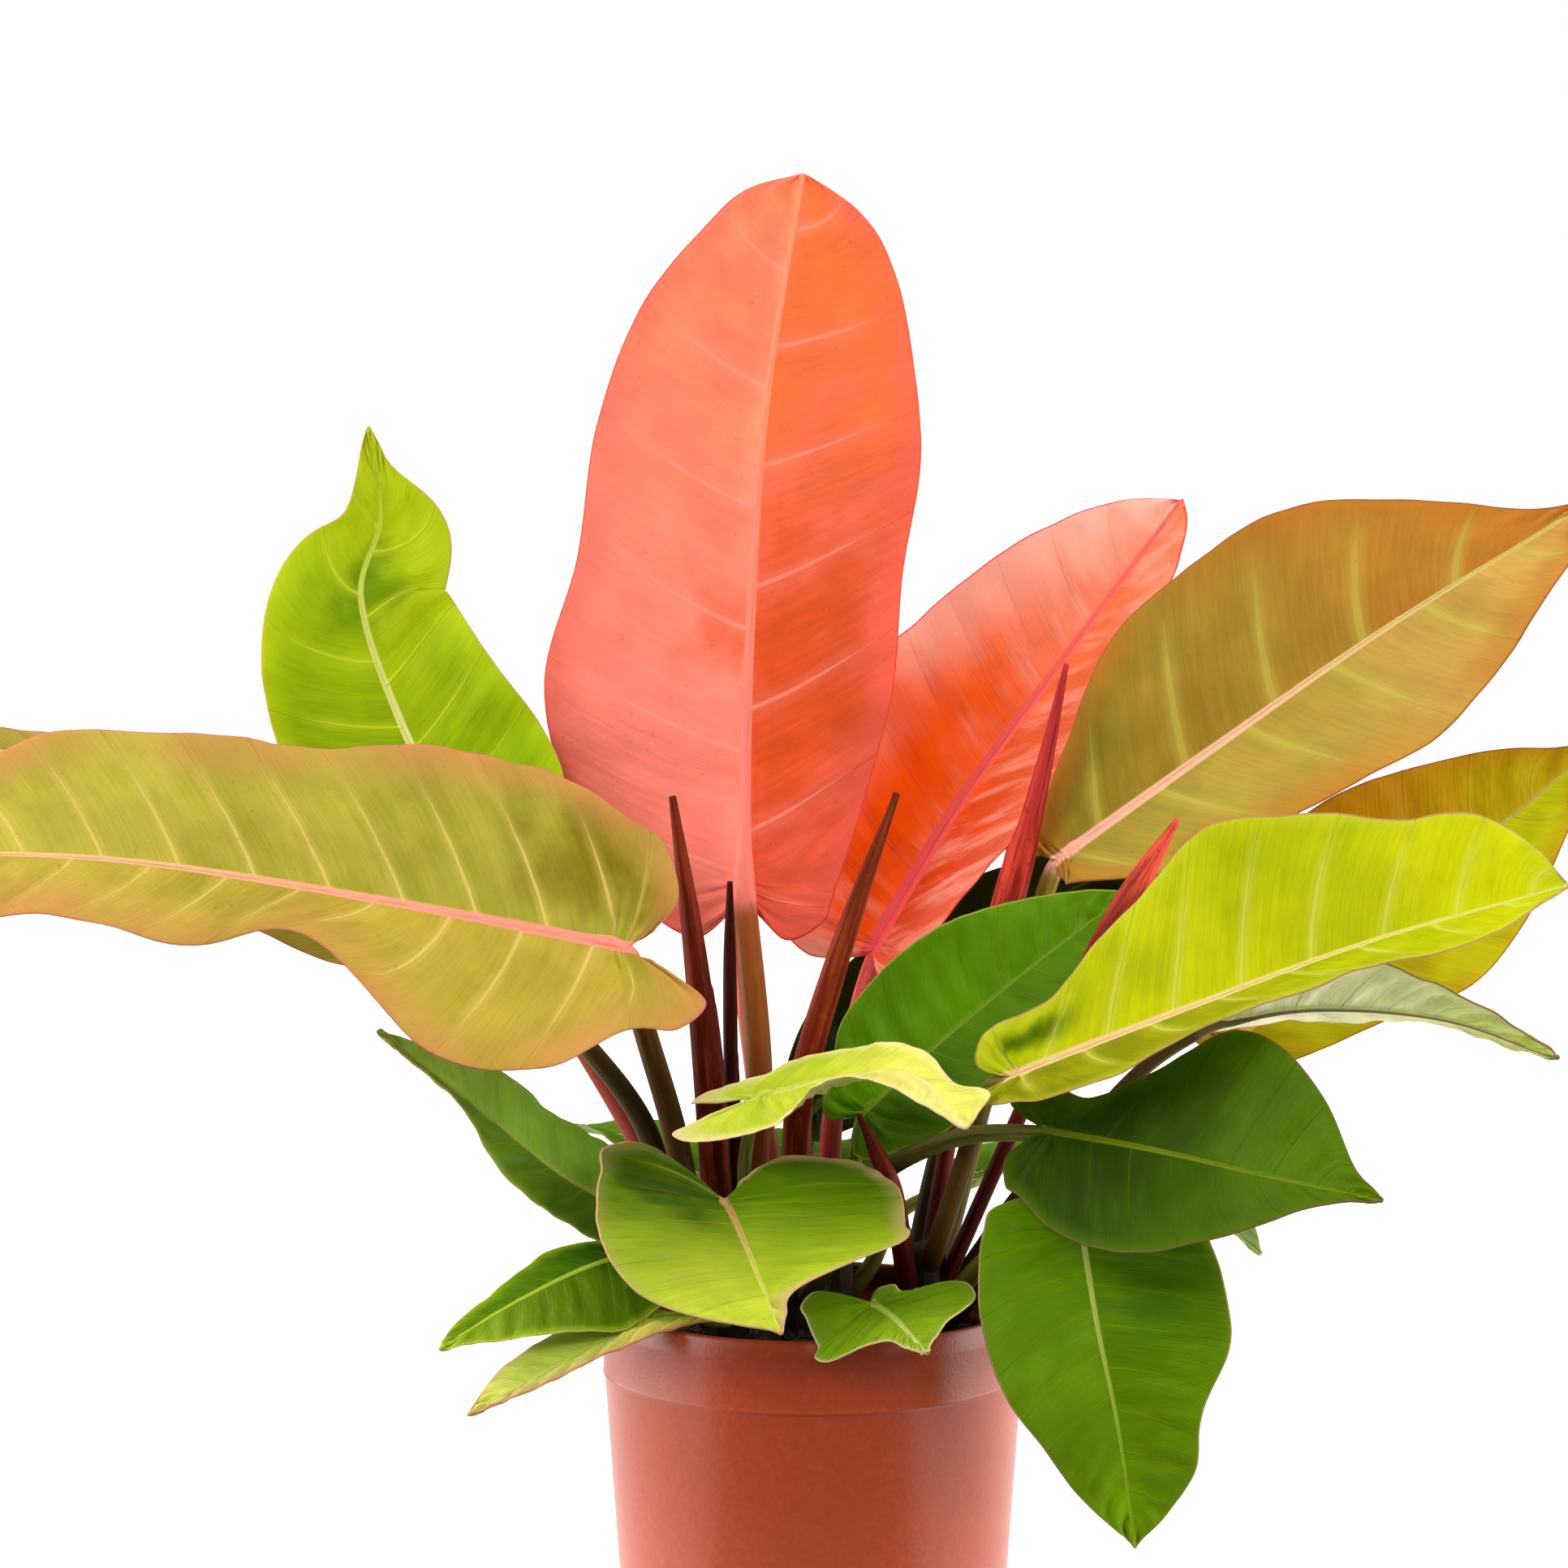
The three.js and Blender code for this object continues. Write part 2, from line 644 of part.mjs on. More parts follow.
// The blade as a thin closed body with the midrib raised from both faces.
function bladeGeometry(leaf, rib) {
  const grid = bladeGrid(leaf, rib);
  const normals = gridNormals(grid);
  const rows = grid.length;
  const columns = grid[0].length;
  const middle = (columns - 1) / 2;
  const vertices = [];
  const number = [[], []];
  [1, -1].forEach((direction, layer) => {
    grid.forEach((row, i) => {
      const depth = ribDepth * rib.halfWidth * (1 - ribDepthTaper * i / (rows - 1));
      number[layer][i] = row.map((point, j) => {
        if (i === rows - 1 && j > 0) {
          return vertices.length - 1;
        }
        const isRib = j === middle || i === rows - 1;
        const extra = isRib ? depth * (direction > 0 ? ribCrest : 1) : 0;
        const offset = direction * (bladeThickness / 2 + extra);
        vertices.push(point.clone().addScaledVector(normals[i][j], offset));
        return vertices.length - 1;
      });
    });
  });
  const triangles = [];
  for (let i = 0; i < rows - 1; i += 1) {
    for (let j = 0; j < columns - 1; j += 1) {
      for (const layer of [0, 1]) {
        const corner = number[layer];
        const [a, b, c, d] = [corner[i][j], corner[i][j + 1], corner[i + 1][j + 1], corner[i + 1][j]];
        const pair = j < middle ? [[a, b, d], [b, c, d]] : [[a, b, c], [a, c, d]];
        triangles.push(...pair.map((triangle) => (layer === 0 ? triangle : triangle.reverse())));
      }
    }
  }
  const loop = [];
  for (let j = 0; j < columns; j += 1) {
    loop.push([0, j]);
  }
  for (let i = 1; i < rows; i += 1) {
    loop.push([i, columns - 1]);
  }
  for (let i = rows - 2; i > 0; i -= 1) {
    loop.push([i, 0]);
  }
  loop.forEach(([i, j], k) => {
    const [m, n] = loop[(k + 1) % loop.length];
    const [a, b] = [number[0][i][j], number[0][m][n]];
    const [c, d] = [number[1][i][j], number[1][m][n]];
    triangles.push([b, a, c], [b, c, d]);
  });
  return meshFrom(vertices, triangles);
}

// A round body along a smooth line, with its own radius at every step.
function taperedTube(points, radii, sides, steps) {
  const line = smoothLine(points).getPoints(steps);
  const widths = smoothValues(radii).getPoints(steps).map((p) => p.x);
  const vertices = [];
  const facing = new THREE.Vector3(0.1, 1, 0.3);
  let across = null;
  line.forEach((centre, k) => {
    const along = line[Math.min(k + 1, steps)].clone().sub(line[Math.max(k - 1, 0)]).normalize();
    across = across ?? along.clone().cross(facing);
    across.addScaledVector(along, -across.dot(along)).normalize();
    const upward = along.clone().cross(across);
    for (let j = 0; j < sides; j += 1) {
      const angle = 2 * Math.PI * j / sides;
      const point = centre.clone().addScaledVector(across, widths[k] * Math.cos(angle));
      vertices.push(point.addScaledVector(upward, widths[k] * Math.sin(angle)));
    }
  });
  const foot = vertices.push(line[0].clone()) - 1;
  const tip = vertices.push(line[steps].clone()) - 1;
  const triangles = [];
  for (let j = 0; j < sides; j += 1) {
    const next = (j + 1) % sides;
    for (let k = 0; k < steps; k += 1) {
      const [a, b] = [k * sides + j, k * sides + next];
      triangles.push([a, b, b + sides], [a, b + sides, a + sides]);
    }
    triangles.push([foot, next, j], [tip, steps * sides + j, steps * sides + next]);
  }
  return meshFrom(vertices, triangles);
}

// The stalk leaves its crown, passes its bends and ends under the midrib.
function stalkGeometry(leaf, rib) {
  const [crownName, bearing, height] = leaf.root;
  const crown = crowns[crownName];
  const outward = new THREE.Vector3(Math.cos(radians(bearing)), Math.sin(radians(bearing)), 0);
  const foot = new THREE.Vector3(crown.x, crown.y, height - stalkSink).addScaledVector(outward, stalkInset);
  const rise = new THREE.Vector3(crown.x, crown.y, height + stalkRise);
  rise.addScaledVector(outward, crown.footRadius + stalkReach);
  const start = rib.at(0);
  const join = rib.at(stalkJoin);
  start.centre.addScaledVector(start.up, -stalkEndDrop);
  join.centre.addScaledVector(join.up, -stalkJoinDrop);
  const path = [foot, rise].map((p) => p.toArray()).concat(leaf.bends, [start, join].map((p) => p.centre.toArray()));
  return taperedTube(path, leaf.stalk, stalkSides, leaf.narrow ? narrowStalkSteps : broadStalkSteps);
}

const plant = new THREE.Group();
const satin = 0.35;
const leafy = 0.45;
const dry = 0.9;
const potColour = 0xa8481f;
const soilColour = 0x1d140f;
const crownColour = 0x5a4a24;

function addPiece(name, geometry, colour, roughness) {
  const material = new THREE.MeshStandardMaterial({ color: colour, roughness, metalness: 0 });
  const mesh = new THREE.Mesh(geometry, material);
  mesh.name = name;
  plant.add(mesh);
}

const potGeometry = turned([
  [0, 0],
  [potFootRadius - potFootBevel, 0],
  [potFootRadius, potFootBevel],
  [potLineRadius, potLineHeight],
  [potBandRadius, potBandHeight],
  [potLipRadius, potLipHeight],
  [potEdgeOuterRadius, potEdgeHeight],
  [potTopRadius, potHeight],
  [potEdgeInnerRadius, potEdgeHeight],
  [potLipInnerRadius, potLipHeight],
  [potThroatRadius, soilTop],
  [potCavityFootRadius, potFloor],
  [0, potFloor],
], potSegments);
addPiece('pot', toGeometry(toSolid(potGeometry)), potColour, satin);

let soil = toSolid(turned([
  [0, potFloor + clearance],
  [potCavityFootRadius - clearance, potFloor + clearance],
  [potThroatRadius - clearance, soilTop],
  [0, soilTop],
], potSegments));
const hollows = Object.values(crowns).map((crown) => toSolid(crownGeometry(crown, clearance)));
hollows.forEach((hollow) => {
  soil = soil.subtract(hollow);
});
addPiece('soil', toGeometry(soil), soilColour, dry);

for (const [name, crown] of Object.entries(crowns)) {
  addPiece(`crown_${name}`, toGeometry(toSolid(crownGeometry(crown, 0))), crownColour, leafy);
}

function clearOfCrowns(solid) {
  return hollows.reduce((rest, hollow) => rest.subtract(hollow), solid);
}

for (const [name, leaf] of Object.entries(leaves)) {
  const rib = new Rib(leaf);
  const whole = toSolid(bladeGeometry(leaf, rib)).add(toSolid(stalkGeometry(leaf, rib)));
  addPiece(name, toGeometry(clearOfCrowns(whole)), leaf.colour, leafy);
}

for (const [name, roll] of Object.entries(rolls)) {
  const body = toSolid(taperedTube(roll.line, roll.radii, rollSides, rollSteps));
  addPiece(name, toGeometry(clearOfCrowns(body)), roll.colour, satin);
}

export default plant;
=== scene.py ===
import math
import random

import bpy
import numpy as np
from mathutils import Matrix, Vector


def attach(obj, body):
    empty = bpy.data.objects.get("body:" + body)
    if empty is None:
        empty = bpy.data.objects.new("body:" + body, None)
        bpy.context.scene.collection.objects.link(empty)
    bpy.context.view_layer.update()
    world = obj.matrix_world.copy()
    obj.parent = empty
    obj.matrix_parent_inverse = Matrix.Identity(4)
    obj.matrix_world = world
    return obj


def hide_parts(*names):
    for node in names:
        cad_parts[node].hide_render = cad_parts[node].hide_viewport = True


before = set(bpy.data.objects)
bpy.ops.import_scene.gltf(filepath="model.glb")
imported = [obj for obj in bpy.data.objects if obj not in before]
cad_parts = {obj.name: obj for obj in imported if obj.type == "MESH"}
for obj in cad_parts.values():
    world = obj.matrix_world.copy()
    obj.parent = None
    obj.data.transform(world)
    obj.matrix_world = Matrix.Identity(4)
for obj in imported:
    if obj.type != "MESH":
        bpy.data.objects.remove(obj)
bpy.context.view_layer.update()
scene = bpy.context.scene
milli = 0.001
print("frame loaded")


# Colours are given as they look, 0 to 255, and turned into linear light
def tone(r, g, b):
    shares = [value / 255 for value in (r, g, b)]
    return (*(v / 12.92 if v <= 0.04045 else ((v + 0.055) / 1.055) ** 2.4 for v in shares), 1.0)


# Curves through given points, in steps of one point
def smoothLine(points, steps):
    p = np.asarray(points, float)
    if p.ndim == 1:
        p = p[:, None]
    ends = np.vstack([2 * p[0] - p[1], p, 2 * p[-1] - p[-2]])
    t = np.asarray(steps, float)
    i = np.clip(np.floor(t).astype(int), 0, len(p) - 2)
    u = (t - i)[:, None]
    a, b, c, d = ends[i], ends[i + 1], ends[i + 2], ends[i + 3]
    return 0.5 * (2 * b + (c - a) * u + (2 * a - 5 * b + 4 * c - d) * u ** 2 + (3 * b - a - 3 * c + d) * u ** 3)


def unit(v):
    return v / np.maximum(np.linalg.norm(v, axis=-1, keepdims=True), 1e-9)


def ease(x, low, high):
    u = np.clip((x - low) / (high - low), 0, 1)
    return u * u * (3 - 2 * u)


def circle(sides):
    return np.linspace(0, 2 * np.pi, sides, endpoint=False)


# Faces between neighbouring rings of point numbers, where a ring may also be one point repeated
def ringFaces(rings):
    faces = []
    for low, high in zip(rings, rings[1:]):
        for j in range(len(low)):
            k = (j + 1) % len(low)
            faces.append(tuple(dict.fromkeys((low[j], low[k], high[k], high[j]))))
    return [face for face in faces if len(face) > 2]


# A mesh from points in millimetres. Its values, one number a point each, are what the materials read.
def meshPiece(name, vertices, faces, materials, faceMaterial=None, values=None, flatMap=None, smooth=True):
    mesh = bpy.data.meshes.new(name)
    mesh.from_pydata((np.asarray(vertices) * milli).tolist(), [], faces)
    for label, data in (values or {}).items():
        layer = mesh.attributes.new("leaf" + label, "FLOAT", "POINT")
        layer.data.foreach_set("value", np.asarray(data, np.float32))
    if flatMap is not None:
        layer = mesh.uv_layers.new(name="map")
        corner = np.empty(len(mesh.loops), np.int32)
        mesh.loops.foreach_get("vertex_index", corner)
        layer.data.foreach_set("uv", np.asarray(flatMap, np.float32)[corner].ravel())
    for material in materials:
        mesh.materials.append(material)
    if faceMaterial is not None:
        mesh.polygons.foreach_set("material_index", np.asarray(faceMaterial, np.int32))
    mesh.polygons.foreach_set("use_smooth", np.full(len(mesh.polygons), smooth))
    mesh.update()
    piece = bpy.data.objects.new(name, mesh)
    scene.collection.objects.link(piece)
    return piece


# The nodes of one tree: each function adds a node and gives its output
class Nodes:
    def __init__(self, tree):
        self.tree = tree

    def add(self, kind, values=None, **settings):
        node = self.tree.nodes.new("ShaderNode" + kind)
        for key, value in settings.items():
            setattr(node, key, value)
        for key, value in (values or {}).items():
            if isinstance(value, bpy.types.NodeSocket):
                self.tree.links.new(value, node.inputs[key])
            else:
                node.inputs[key].default_value = value
        return node

    def calc(self, operation, a, b=0.0, clamp=False):
        return self.add("Math", {0: a, 1: b}, operation=operation, use_clamp=clamp).outputs[0]

    def plus(self, a, b, clamp=False):
        return self.calc("ADD", a, b, clamp)

    def minus(self, a, b):
        return self.calc("SUBTRACT", a, b)

    def over(self, a, b):
        return self.calc("DIVIDE", a, b)

    def times(self, product, *factors):
        for factor in factors:
            product = self.calc("MULTIPLY", product, factor)
        return product

    def ramp(self, value, low, high, first=0.0, last=1.0):
        ends = {"Value": value, "From Min": low, "From Max": high, "To Min": first, "To Max": last}
        return self.add("MapRange", ends, interpolation_type="SMOOTHSTEP").outputs[0]

    def noise(self, vector, scale, detail=2.0, rough=0.5):
        look = {"Vector": vector, "Scale": scale, "Detail": detail, "Roughness": rough}
        return self.add("TexNoise", look).outputs[0]

    def place(self):
        return self.add("TexCoord").outputs["Object"]

    def vector(self, x, y, z):
        return self.add("CombineXYZ", {0: x, 1: y, 2: z}).outputs[0]

    def length(self, vector):
        return self.add("VectorMath", {0: vector}, operation="LENGTH").outputs["Value"]

    def mix(self, share, a, b, kind="MIX"):
        return self.add("Mix", {0: share, 6: a, 7: b}, data_type="RGBA", blend_type=kind).outputs[2]

    def dim(self, colour, shade):
        grey = self.add("CombineColor", {0: shade, 1: shade, 2: shade}).outputs[0]
        return self.mix(1.0, colour, grey, "MULTIPLY")


# A node group that colours: colours and values go in, and a colour, a height and a dullness that vary come out.
# Its look names the noises (scale, detail and roughness) and the ramps (two limits, and what is given at them).
class Tint(Nodes):
    def __init__(self, name, colours, values, look):
        super().__init__(bpy.data.node_groups.new(name, "ShaderNodeTree"))
        self.look = look
        for kind, labels in (("NodeSocketColor", colours), ("NodeSocketFloat", values)):
            for label in labels:
                self.tree.interface.new_socket(name=label, in_out="INPUT", socket_type=kind)
        for label in ("Colour", "Height", "Dull"):
            kind = "NodeSocketColor" if label == "Colour" else "NodeSocketFloat"
            self.tree.interface.new_socket(name=label, in_out="OUTPUT", socket_type=kind)
        self.given = self.tree.nodes.new("NodeGroupInput").outputs

    def cloud(self, key, vector):
        return self.noise(vector, *self.look["noises"][key])

    def limit(self, key, value):
        return self.ramp(value, *self.look["ramps"][key])

    def mark(self, key, vector):
        return self.limit(key, self.cloud(key, vector))

    def finish(self, colour, height, dull):
        result = self.tree.nodes.new("NodeGroupOutput").inputs
        for label, socket in (("Colour", colour), ("Height", height), ("Dull", dull)):
            self.tree.links.new(socket, result[label])
        return self.tree


# Leaf colouring: two halves that turn from base to tip, patches, streaks along the side veins,
# pale veins, a margin band with its thin edge line, the midrib and a paler underside.
# veinScales: for the noises that follow the side veins, how fine they are along and across them.
leafLook = {
    "noises": {
        "streaks": (1.0, 4.0, 0.6), "fine": (1.0,), "clouds": (1.0,), "patches": (16.0, 3.0), "ragged": (34.0, 3.0),
        "mottle": (60.0, 4.0, 0.6), "wander": (22.0,), "specks": (420.0, 1.0), "grain": (900.0,)},
    "veinScales": {"streaks": (2.6, 1.3), "fine": (24.0, 2.6), "clouds": (0.9, 2.2)},
    "ramps": {
        "half": (-0.02, 0.02), "along": (0.02, 0.98), "patches": (0.42, 0.6), "streaks": (0.42, 0.66),
        "ragged": (0.3, 0.7, -0.3, 0.3), "shade": (0.15, 1.0, 1.0, 0.0), "fine": (0.3, 0.7, 0.93, 1.04),
        "mottle": (0.3, 0.7, 0.95, 1.04), "clouds": (0.36, 0.64, 0.94, 1.05), "margin": (0.0, 1.0, 1.0, 0.0),
        "wander": (0.3, 0.6, 0.35, 1.0), "thinning": (0.1, 1.0, 1.0, 0.35), "vein": (0.3, 1.0, 1.0, 0.0),
        "halo": (0.0, 0.15, 1.0, 0.0), "veinEnd": (0.5, 1.0, 1.0, 0.0), "specks": (0.72, 0.76),
        "rib": (0.7, 1.1, 1.0, 0.0), "line": (0.5, 1.2, 0.85, 0.0)},
    "cloudLayer": 5.0, "shadeStretch": 2.6, "speckTone": (120, 50, 30), "lineWidth": 0.8, "underShare": 0.7,
    "fineHeight": 0.6, "grainHeight": 0.12, "veinHeight": 0.5, "patchDull": 0.08, "fineDull": 0.1}
leafFields = ["Across", "Part", "Phase", "Edge", "Rib", "Face"]


def makeLeafTint():
    n = Tint("leafTint", [
        "Left Base", "Left Tip", "Right Base", "Right Tip", "Patch", "Streak", "Margin", "Line", "Vein",
        "Rib Base", "Rib Tip", "Under", "Shade"], leafFields + [
        "Patch Share", "Streak Share", "Margin Share", "Margin Width", "Margin Right", "Vein Share", "Vein Width",
        "Vein Halo", "Rib Width", "Speck Share", "Seed", "Shade Part", "Shade Across", "Shade Reach", "Shade Share"],
        leafLook)
    g = n.given
    seed = g["Seed"]
    spot = n.add("VectorMath", {0: n.place(), 1: n.vector(seed, seed, 0.0)}, operation="ADD").outputs[0]

    def veinCloud(key, layer):
        scales = leafLook["veinScales"][key]
        return n.cloud(key, n.vector(n.times(g["Phase"], scales[0]), n.times(g["Across"], scales[1]), layer))

    def lay(label, mask):
        return n.mix(n.times(mask, g[label + " Share"]), colour, g[label])

    rightHalf = n.limit("half", g["Across"])
    along = n.limit("along", g["Part"])
    left = n.mix(along, g["Left Base"], g["Left Tip"])
    colour = n.mix(rightHalf, left, n.mix(along, g["Right Base"], g["Right Tip"]))
    patches = n.mark("patches", spot)
    colour = lay("Patch", patches)
    colour = lay("Streak", n.limit("streaks", veinCloud("streaks", seed)))
    # one spot of another tone with a ragged rim: painted shade on some leaves, as by the front leaf's sinus, and the
    # leaf's own colour on others, as the silver leaf's lime tip
    offPart = n.over(n.minus(g["Part"], g["Shade Part"]), g["Shade Reach"])
    offAcross = n.over(n.minus(g["Across"], g["Shade Across"]), n.times(g["Shade Reach"], leafLook["shadeStretch"]))
    away = n.calc("SQRT", n.plus(n.times(offPart, offPart), n.times(offAcross, offAcross)))
    colour = lay("Shade", n.limit("shade", n.plus(away, n.mark("ragged", spot))))
    # light and dark: fine lines, mottling, and soft clouds along the side veins that are painted light and shade
    fine = veinCloud("fine", seed)
    clouds = veinCloud("clouds", n.plus(seed, leafLook["cloudLayer"]))
    shade = n.times(n.limit("fine", fine), n.mark("mottle", spot))
    colour = n.dim(colour, n.times(shade, n.limit("clouds", clouds)))
    band = n.limit("margin", n.over(g["Edge"], g["Margin Width"]))
    rightBand = n.ramp(rightHalf, 0.0, 1.0, 1.0, g["Margin Right"])
    colour = lay("Margin", n.times(band, n.mark("wander", spot), rightBand))
    # pale side veins that thin out towards the margin, in a soft halo
    offVein = n.calc("ABSOLUTE", n.minus(n.calc("FRACT", g["Phase"]), 0.5))
    spread = n.calc("ABSOLUTE", g["Across"])
    vein = n.limit("vein", n.over(offVein, n.times(g["Vein Width"], n.limit("thinning", spread))))
    halo = n.times(n.limit("halo", offVein), g["Vein Halo"])
    colour = lay("Vein", n.times(n.plus(vein, halo, True), n.limit("veinEnd", spread)))
    colour = n.mix(n.times(n.mark("specks", spot), g["Speck Share"]), colour, tone(*leafLook["speckTone"]))
    ribBand = n.limit("rib", n.over(g["Rib"], g["Rib Width"]))
    colour = n.mix(ribBand, colour, n.mix(along, g["Rib Base"], g["Rib Tip"]))
    colour = n.mix(n.limit("line", n.over(g["Edge"], leafLook["lineWidth"])), colour, g["Line"])
    colour = n.mix(n.times(n.minus(1.0, g["Face"]), leafLook["underShare"]), colour, g["Under"])
    grain = n.plus(n.times(fine, leafLook["fineHeight"]), n.times(n.cloud("grain", spot), leafLook["grainHeight"]))
    height = n.plus(grain, n.times(vein, leafLook["veinHeight"]))
    dull = n.plus(n.times(patches, leafLook["patchDull"]), n.times(fine, leafLook["fineDull"]))
    return n.finish(colour, height, dull)


# Stalk colouring: foot to blade, with streaks and small flecks. Its scales are those round and along the stalk.
stalkLook = {
    "noises": {"streaks": (1.0, 4.0, 0.6), "fine": (1.0,), "flecks": (260.0,)},
    "scales": {"streaks": (5.0, 3.0), "fine": (22.0, 5.0)},
    "ramps": {
        "Middle": (0.0, 0.45), "Top": (0.55, 0.85), "Join": (0.94, 1.0), "streaks": (0.45, 0.62),
        "flecks": (0.62, 0.7, 0.0, 0.35), "end": (0.97, 1.0)},
    "fineDull": 0.15}


def makeStalkTint():
    n = Tint("stalkTint", ["Foot", "Middle", "Top", "Join", "Streak"], ["Part", "Turn", "Streak Share", "Seed"],
             stalkLook)
    g = n.given

    def lengthwise(key):
        around, along = stalkLook["scales"][key]
        return n.cloud(key, n.vector(n.times(g["Turn"], around), n.times(g["Part"], along), g["Seed"]))

    colour = g["Foot"]
    for label in ("Middle", "Top", "Join"):
        colour = n.mix(n.limit(label, g["Part"]), colour, g[label])
    colour = n.mix(n.times(n.limit("streaks", lengthwise("streaks")), g["Streak Share"]), colour, g["Streak"])
    colour = n.mix(n.mark("flecks", n.place()), colour, g["Streak"])
    colour = n.mix(n.limit("end", g["Part"]), colour, g["Join"])
    fine = lengthwise("fine")
    return n.finish(colour, fine, n.times(fine, stalkLook["fineDull"]))


# A material: one colouring, fed with the piece's own values, and a bump of a few tenths of a millimetre
def shader(name, tint, fields, values, rough, bumpDepth, specular=0.5, ior=1.5):
    material = bpy.data.materials.new(name)
    material.use_nodes = True
    n = Nodes(material.node_tree)
    n.tree.nodes.clear()
    sources = {label: n.add("Attribute", attribute_name="leaf" + label).outputs["Fac"] for label in fields}
    tinted = n.add("Group", {**sources, **values}, node_tree=tint).outputs
    bump = n.add("Bump", {"Height": tinted["Height"], "Strength": 1.0, "Distance": bumpDepth})
    surface = n.add("BsdfPrincipled", {
        "Base Color": tinted["Colour"], "Roughness": n.plus(tinted["Dull"], rough), "Normal": bump.outputs[0],
        "Specular IOR Level": specular, "IOR": ior})
    n.add("OutputMaterial", {0: surface.outputs[0]})
    return material


# Stalks, rolled leaves and stem bases take their tones in order from the foot up. The dark foot tones are painted
# shade, low among the stems.
def stalkSkin(name, finish, tones, streak, seed):
    values = {label: tone(*value) for label, value in zip(("Foot", "Middle", "Top", "Join"), tones)}
    values.update({"Streak": tone(*streak), "Streak Share": finish["streakShare"], "Seed": seed * finish["seedStep"]})
    return shader(name, stalkTint, ["Part", "Turn"], values, finish["rough"], finish["bump"], finish["specular"],
                  finish["ior"])


leafTint = makeLeafTint()
stalkTint = makeStalkTint()


# Leaf forms are in millimetres, as the solids have them. rib: the midrib's points. faces: which way the blade
# faces at its base and tip. left, right: the halves' widths at the stations. lobes: how far they reach back.
# fold: degrees at lobe, base and tip. dents, waves: (side, station, amount) and (side, place, spread, height).
# ripple: height, count and turn along the margin. root: the stem base, with a bearing and a height.
# bends, stalk: points that the stalk passes, and its radii from foot to blade.
# patch, streak, margin, vein and shade hold a tone and its share, then the margin's width in mm, and the
# shade's place along and across the leaf and its reach. Tones are those of the side that shows in front.
stations = [0, 0.12, 0.28, 0.45, 0.62, 0.78, 0.9, 0.965]
crowns = {    # place, foot and top radius, height
    "left": (-36, 8, 12, 9, 180), "middle": (-6, 24, 12, 9, 180), "right": (46, 14, 12, 9, 180),
    "back": (10, 62, 10, 7, 166)}
# What most leaves share, unless a leaf's own dictionary says otherwise
plainLeaf = dict(
    slot="leaf_green", shows="upper", veins=8, veinWidth=0.026, halo=0.25, ribWidth=0.75, marginRight=1.0, rough=0.42,
    specular=0.11, speck=0.0, quilt=0.8, fold=[8, 8, 6], dents=[], waves=[], stalk=[4.2, 3.6, 3, 2.6, 1.4],
    stalkTones=[(50, 38, 12), (86, 86, 26), (136, 142, 50)], stalkStreak=(90, 50, 30))
# stalks of leaves further back, darker all along: painted shade, as they stand in the shadow of other leaves
shadedStalk = [(30, 14, 5), (56, 40, 12), (88, 74, 26)]
lowBack = dict(
    left=[24, 34, 36, 34, 28, 18, 10, 4], right=[24, 34, 36, 34, 28, 18, 10, 4], lobes=[14, 14], fold=[10, 10, 6],
    stalk=[4, 3.6, 3, 2.6, 1.4], rough=0.38, quilt=0.9)
